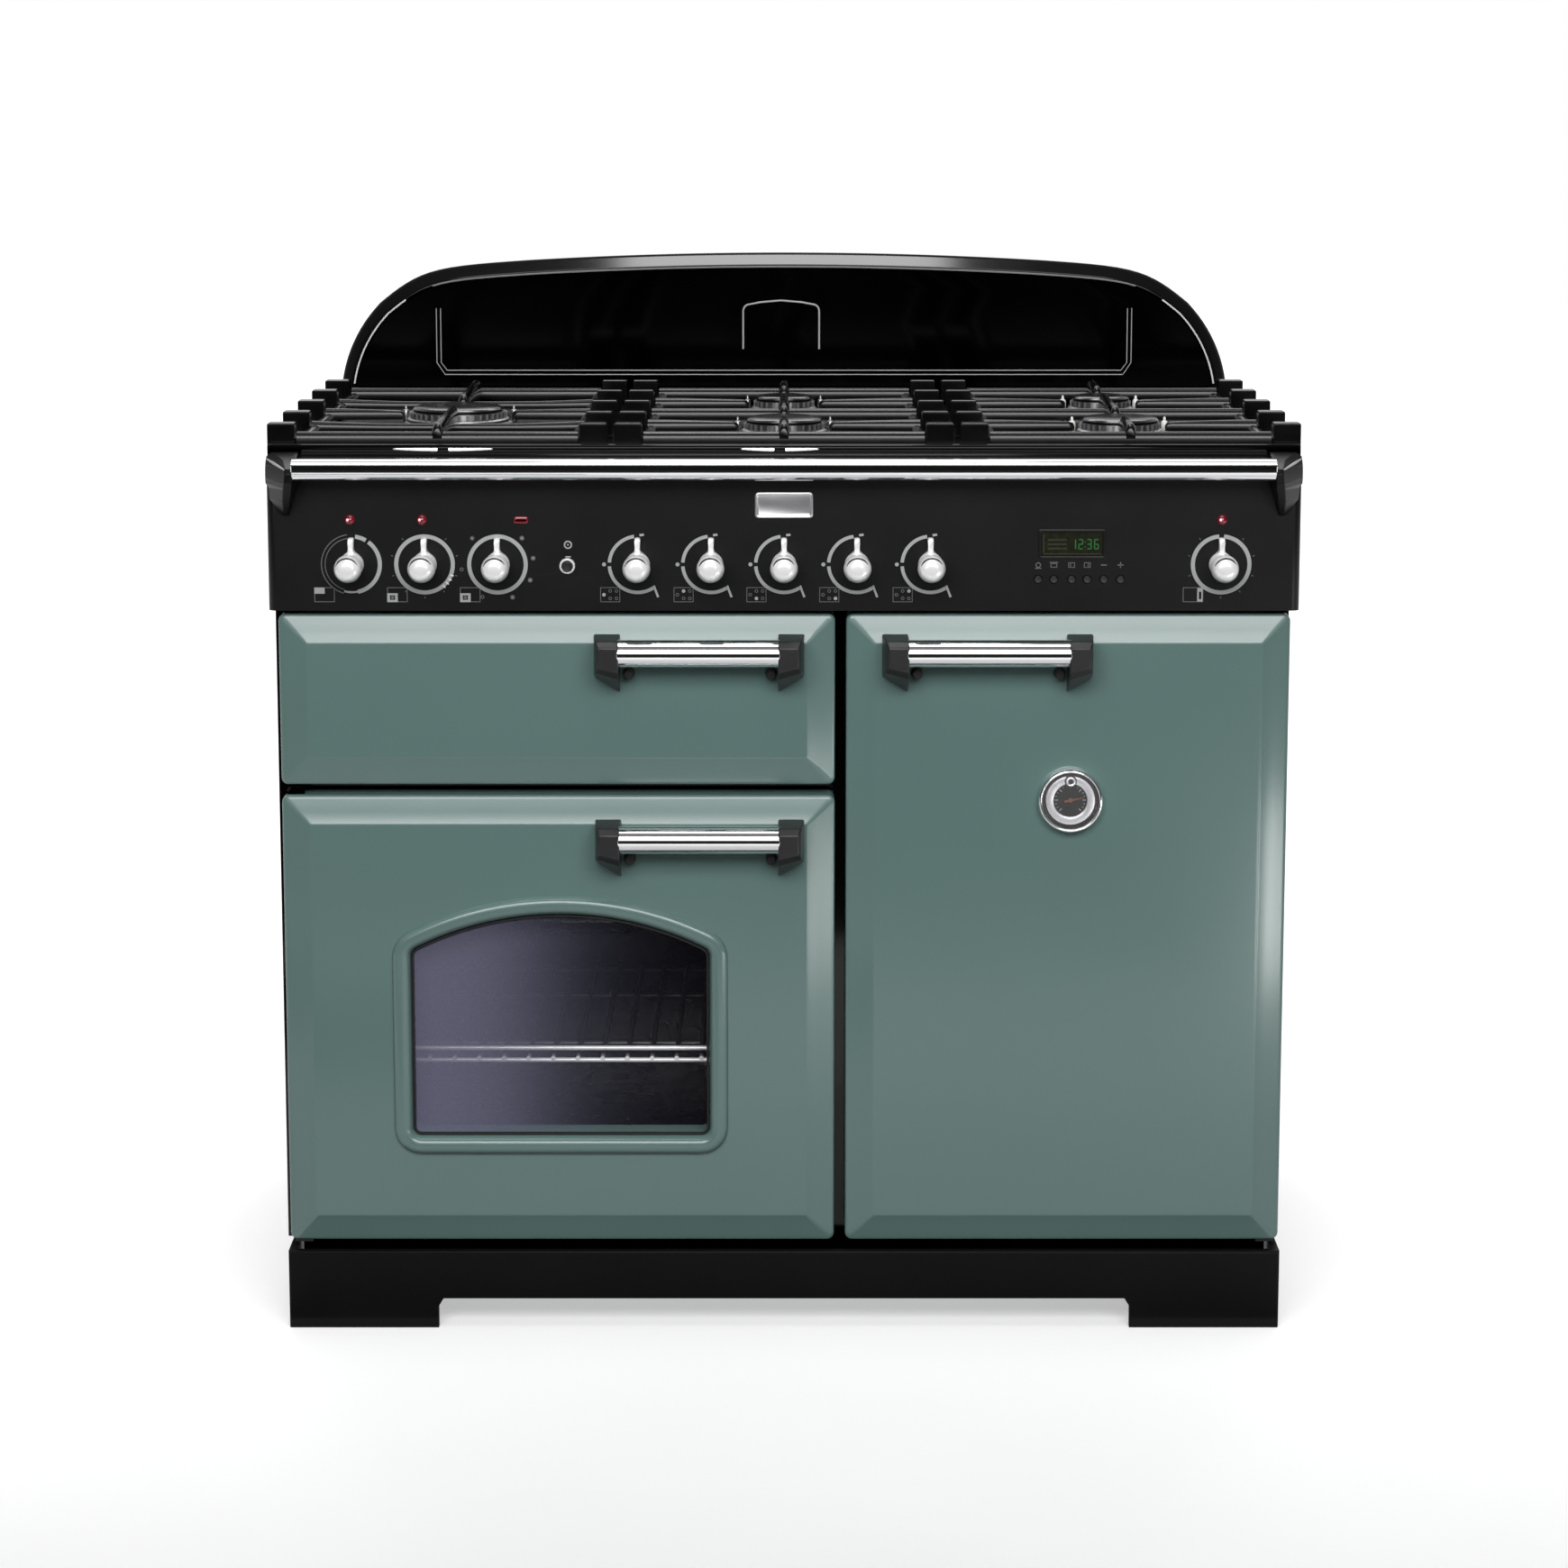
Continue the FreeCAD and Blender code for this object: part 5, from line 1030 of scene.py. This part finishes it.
# --------------------------------------------------------------------------
# Thermometer: bright bezel, silver ring with a hanging eye, dark dial
# --------------------------------------------------------------------------
TX, TZ = 0.277, 0.535
case = lathe("thermometer_bezel", [(0.0290, -0.2818), (0.0312, -0.2822), (0.0316, -0.2840), (0.0316, -0.2880), (0.0312, -0.2916),
                                   (0.0304, -0.2938), (0.0294, -0.2948), (0.0285, -0.2947), (0.0279, -0.2940), (0.0276, -0.2925),
                                   (0.0275, -0.2900)], M["chrome"], "right_oven_door", "Y", (TX, 0, TZ), 72, 60)
well = lathe("thermometer_well", [(0.0275, -0.2900), (0.0273, -0.2860), (0.0268, -0.2848), (0.0, -0.2848), (0.0, -0.2818), (0.0290, -0.2818)],
             M["plastic"], "right_oven_door", "Y", (TX, 0, TZ), 72, 40)
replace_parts(case, "thermometer_case")
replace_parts(well, "thermometer_case")
M["dial_silver"] = varied("dial_silver", (0.66, 0.65, 0.68), 0.04, 120.0, 0.34, 0.05, metal=0.6)
lathe("thermometer_ring", [(0.0238, -0.2848), (0.0240, -0.2886), (0.0236, -0.2895), (0.0226, -0.2898), (0.0174, -0.2898), (0.0166, -0.2894),
                           (0.0163, -0.2886), (0.0162, -0.2872), (0.0162, -0.2848)], M["dial_silver"], "right_oven_door", "Y",
      (TX, 0, TZ), 72)
lathe("thermometer_eye", [(0.0024, -0.2897), (0.0024, -0.2912), (0.0028, -0.2920), (0.0036, -0.2923), (0.0044, -0.2920), (0.0048, -0.2911),
                          (0.0049, -0.2897), (0.0024, -0.2897)], M["dial_silver"], "right_oven_door", "Y", (TX, 0, TZ + 0.0188), 32)
# A dark ring round the eye and a dark disc in its hole: painted shade
lathe("thermometer_eye_shade", [(0.0047, -0.2895), (0.0047, -0.2899), (0.0058, -0.28995), (0.0060, -0.2897), (0.0060, -0.2895),
                                (0.0047, -0.2895)], M["plastic"], "right_oven_door", "Y", (TX, 0, TZ + 0.0188), 32)
lathe("thermometer_eye_hole_shade", [(0, -0.2894), (0.0025, -0.2894), (0.0025, -0.2902), (0, -0.2902)], M["plastic"], "right_oven_door", "Y",
      (TX, 0, TZ + 0.0188), 24)
M["dial_dark"] = varied("dial_dark", (0.010, 0.010, 0.011), 0.2, 90.0, 0.45, 0.05, spec=0.2)
lathe("thermometer_dial", [(0, -0.2846), (0.0163, -0.2846), (0.0163, -0.2871), (0, -0.2871)], M["dial_dark"], "right_oven_door", "Y",
      (TX, 0, TZ), 48)
scale = Ink(-0.28725, -0.28705)
for k in range(19):
    a = -135 + 15 * k
    s_, c = sin(radians(a)), cos(radians(a))
    r0 = 0.0118 if k % 3 == 0 else 0.0132
    scale.line(TX + r0 * s_, TZ + r0 * c, TX + 0.0150 * s_, TZ + 0.0150 * c, 0.0007 if k % 3 == 0 else 0.0004)
scale.make("thermometer_scale", M["print"], "right_oven_door")
# needle: hub, tapering pointer and short tail
a = radians(78)
u = (sin(a), cos(a))
w = (u[1], -u[0])


def pt(l, s_):
    return (TX + u[0] * l + w[0] * s_, TZ + u[1] * l + w[1] * s_)


hand = Ink(-0.2893, -0.2886)
hand.poly([pt(-0.0058, -0.0010), pt(-0.0058, 0.0010), pt(0.0, 0.0012), pt(0.0128, 0.0003), pt(0.0128, -0.0003), pt(0.0, -0.0012)])
hand_o = hand.make("thermometer_hand", M["needle"], "thermometer_needle")
hub = lathe("thermometer_hub", [(0, -0.2884), (0.0024, -0.2884), (0.0024, -0.2895), (0.0020, -0.2900), (0, -0.2901)], M["needle"],
            "thermometer_needle", "Y", (TX, 0, TZ), 28)
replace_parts(join([hand_o, hub], "thermometer_pointer"), "thermometer_needle")
m, nt, b = shader("dial_glass", (0.9, 0.9, 0.9), 0.02, spec=0.4)
b.inputs["Alpha"].default_value = 0.06
n = noise(nt, 60, 2)
r = ramp(nt, n.outputs["Fac"], [(0.3, 0.01), (0.7, 0.04)])
nt.links.new(r.outputs["Color"], b.inputs["Roughness"])
M["dial_glass"] = m
lathe("thermometer_glass", [(0.0277, -0.2928), (0.0220, -0.2937), (0.0150, -0.2944), (0.0070, -0.2948), (0, -0.2949)], M["dial_glass"],
      "right_oven_door", "Y", (TX, 0, TZ), 48)

# --------------------------------------------------------------------------
# Finishes of the carried-over nodes
# --------------------------------------------------------------------------
finish_of = {
    "back_panel": "zinc", "base_tray": "zinc", "burner_caps": "cap", "burner_heads": "alloy", "control_panel": "panel",
    "door_hinges": "gloss_black", "electrical_units": "plastic", "front_frame": "gloss_black", "gas_rail_and_taps": "brass",
    "grill_chamber": "oven", "grill_door_liner": "oven", "grill_door_panel": "green", "grill_handle_bar": "chrome",
    "grill_handle_ends": "bracket", "grill_pan": "oven", "heating_elements": "element", "hob_tray": "tray_black",
    "indicator_lenses": "red", "left_fan": "steel", "left_oven_door_glass": "glass", "left_oven_door_liner": "oven",
    "left_oven_door_panel": "green", "left_oven_handle_bar": "chrome", "left_oven_handle_ends": "bracket",
    "left_oven_liner": "oven", "levelling_feet": "steel", "light_button": "knob_chrome", "oven_racks": "wire",
    "oven_seals": "seal", "plinth": "plinth", "rail_brackets": "rail_bracket", "rail_tube": "chrome", "right_fan": "steel",
    "right_oven_door_liner": "oven", "right_oven_door_panel": "green", "right_oven_handle_bar": "chrome",
    "right_oven_handle_ends": "bracket", "right_oven_liner": "oven", "side_panels": "gloss_black", "splashback": "gloss_black",
    "thermometer_case": "chrome", "thermometer_needle": "needle",
    "left_pan_support": "cast", "centre_pan_support": "cast", "right_pan_support": "cast",
}
M["element"] = varied("element_sheath", (0.10, 0.095, 0.09), 0.2, 60.0, 0.5, 0.08, metal=0.7)
for node in N:
    if node.endswith("_knob"):
        paint(node, M["knob_chrome"])
    elif node.startswith("timer_key"):
        paint(node, M["plastic"])
    else:
        paint(node, M[finish_of[node]])

# --------------------------------------------------------------------------
# Stage: pale floor, soft white surroundings, softboxes and the camera
# --------------------------------------------------------------------------
floor_m, nt, b = shader("pale_floor", (0.84, 0.84, 0.84), 0.7, spec=0.2)
n = noise(nt, 3, 2)
c = ramp(nt, n.outputs["Fac"], [(0.3, 0.83), (0.7, 0.85)])
nt.links.new(c.outputs["Color"], b.inputs["Base Color"])
t = nt.nodes.new("ShaderNodeTexCoord")
s = nt.nodes.new("ShaderNodeSeparateXYZ")
nt.links.new(t.outputs["Object"], s.inputs["Vector"])
mr = nt.nodes.new("ShaderNodeMapRange")
mr.inputs["From Min"].default_value = -9.0
mr.inputs["From Max"].default_value = 5.0
nt.links.new(s.outputs["Y"], mr.inputs["Value"])
# The floor glows by emission, white far off and at the sides and dark just in front of the cooker: painted light on the
# floor
glow = ramp(nt, mr.outputs["Result"], [(0.0, 0.80), (0.36, 0.70), (0.45, 0.35), (0.514, 0.0), (0.543, 0.0), (0.581, 0.05), (0.616, 0.35),
                                         (0.736, 0.70), (0.971, 0.95)])
ab = nt.nodes.new("ShaderNodeMath")
ab.operation = "ABSOLUTE"
nt.links.new(s.outputs["X"], ab.inputs[0])
wide = nt.nodes.new("ShaderNodeMapRange")
wide.inputs["From Min"].default_value = 1.9
wide.inputs["From Max"].default_value = 4.0
wide.inputs["To Max"].default_value = 0.8
nt.links.new(ab.outputs[0], wide.inputs["Value"])
most = nt.nodes.new("ShaderNodeMath")
most.operation = "MAXIMUM"
nt.links.new(glow.outputs["Color"], most.inputs[0])
nt.links.new(wide.outputs["Result"], most.inputs[1])
nt.links.new(most.outputs[0], b.inputs["Emission Color"])
b.inputs["Emission Strength"].default_value = 1.0
me = bpy.data.meshes.new("floor")
me.from_pydata([(-9, -9, 0), (9, -9, 0), (9, 14, 0), (-9, 14, 0)], [], [(0, 1, 2, 3)])
floor = bpy.data.objects.new("floor", me)
floor.data.materials.append(floor_m)
floor.visible_diffuse = False
scene.collection.objects.link(floor)

world = bpy.data.worlds.new("studio")
scene.world = world
world.use_nodes = True
nt = world.node_tree
nt.nodes.clear()
out = nt.nodes.new("ShaderNodeOutputWorld")
tc = nt.nodes.new("ShaderNodeTexCoord")
sep = nt.nodes.new("ShaderNodeSeparateXYZ")
nt.links.new(tc.outputs["Generated"], sep.inputs["Vector"])
up = nt.nodes.new("ShaderNodeMapRange")
up.inputs["From Min"].default_value = -1
up.inputs["From Max"].default_value = 1
nt.links.new(sep.outputs["Z"], up.inputs["Value"])
sky = ramp(nt, up.outputs["Result"], [(0.0, 0.10), (0.46, 0.03), (0.50, 0.03), (0.53, 0.06), (0.60, 0.08), (0.75, 0.16), (1.0, 0.35)])
room = nt.nodes.new("ShaderNodeBackground")
room.inputs["Strength"].default_value = 0.8
nt.links.new(sky.outputs["Color"], room.inputs["Color"])
white = nt.nodes.new("ShaderNodeBackground")
white.inputs["Color"].default_value = (1, 1, 1, 1)
white.inputs["Strength"].default_value = 1.0
# the room is dark in front and at the sides and white at the back
side = nt.nodes.new("ShaderNodeMapRange")
side.inputs["From Min"].default_value = 0.02
side.inputs["From Max"].default_value = 0.45
nt.links.new(sep.outputs["Y"], side.inputs["Value"])
far = ramp(nt, up.outputs["Result"], [(0.0, 0.4), (0.48, 0.5), (0.5, 0.9), (0.7, 0.9), (1.0, 0.7)])
rear = nt.nodes.new("ShaderNodeBackground")
rear.inputs["Strength"].default_value = 0.8
nt.links.new(far.outputs["Color"], rear.inputs["Color"])
around = nt.nodes.new("ShaderNodeMixShader")
nt.links.new(side.outputs["Result"], around.inputs["Fac"])
nt.links.new(room.outputs["Background"], around.inputs[1])
nt.links.new(rear.outputs["Background"], around.inputs[2])
path = nt.nodes.new("ShaderNodeLightPath")
mix = nt.nodes.new("ShaderNodeMixShader")
nt.links.new(path.outputs["Is Camera Ray"], mix.inputs["Fac"])
nt.links.new(around.outputs["Shader"], mix.inputs[1])
nt.links.new(white.outputs["Background"], mix.inputs[2])
nt.links.new(mix.outputs["Shader"], out.inputs["Surface"])


def softbox(name, at, aim, size, size_y, radiance):
    l = bpy.data.lights.new(name, "AREA")
    l.shape = "RECTANGLE"
    l.size, l.size_y, l.energy = size, size_y, radiance * size * size_y * pi
    o = bpy.data.objects.new(name, l)
    o.location = at
    o.rotation_euler = (Vector(aim) - Vector(at)).to_track_quat("-Z", "Y").to_euler()
    o.visible_camera = False
    scene.collection.objects.link(o)
    return o


softbox("front_wall", (0, -3.60, 1.52), (0, -0.28, 1.00), 4.4, 1.16, 1.30)
softbox("key", (0, -3.40, 2.44), (0, -0.28, 0.70), 3.4, 1.28, 8.15)
softbox("overhead", (0, -0.62, 3.4), (0, -0.1, 0.9), 2.0, 1.0, 2.7)
overhead_strip = softbox("overhead_strip", (0, 0.16, 3.2), (0, 0.31, 1.02), 0.74, 0.5, 15.5)
right_strip = softbox("right_strip", (1.10, -1.16, 0.20), (0.47, -0.28, 0.45), 0.20, 0.25, 12.0)
centre_strip = softbox("centre_strip", (0.82, -1.54, 0.13), (0.03, -0.28, 0.45), 0.26, 0.24, 6.6)
overhead_strip.visible_diffuse = right_strip.visible_diffuse = centre_strip.visible_diffuse = False
softbox("behind", (0, 1.7, 2.8), (0, 0.1, 0.9), 2.6, 0.8, 4.0)

# Cards that only reflections meet: dark low on the left, dark under the doors, grey on the floor close by,
# dark on the floor well in front
card_m = varied("grey_card", (0.76, 0.76, 0.77), 0.05, 5.0, 0.8, 0.05, spec=0.1)
flag_m = varied("flag_black", (0.004, 0.004, 0.004), 0.1, 5.0, 0.8, 0.05, spec=0.1)
for name, pts in (("flag_left", [(-1.5, -1.15, 0.0), (-0.25, -1.15, 0.0), (-0.25, -1.15, 0.12), (-1.5, -1.15, 0.12)]),
                  ("card_near", [(-1.3, -1.02, 0.006), (1.3, -1.02, 0.006), (1.3, -0.40, 0.006), (-1.3, -0.40, 0.006)]),
                  ("flag_under", [(-0.50, -0.395, 0.008), (0.50, -0.395, 0.008), (0.50, -0.284, 0.008), (-0.50, -0.284, 0.008)]),
                  ("flag_floor", [(-8.5, -8.9, 0.01), (8.5, -8.9, 0.01), (8.5, -1.75, 0.01), (-8.5, -1.75, 0.01)])):
    me = bpy.data.meshes.new(name)
    me.from_pydata(pts, [], [(0, 1, 2, 3)])
    flag = bpy.data.objects.new(name, me)
    flag.data.materials.append(card_m if name == "card_near" else flag_m)
    flag.visible_camera = flag.visible_diffuse = flag.visible_transmission = flag.visible_shadow = False
    scene.collection.objects.link(flag)

scene.view_settings.view_transform = "Standard"
cam = bpy.data.cameras.new("camera")
cam.sensor_width = 36
cam.lens = 84.11
cam.shift_y = -0.12
cam.clip_end = 60
cam_o = bpy.data.objects.new("camera", cam)
cam_o.location = (0, -3.763, 1.2587)
cam_o.rotation_euler = (radians(81.43), 0, 0)
scene.collection.objects.link(cam_o)
scene.camera = cam_o
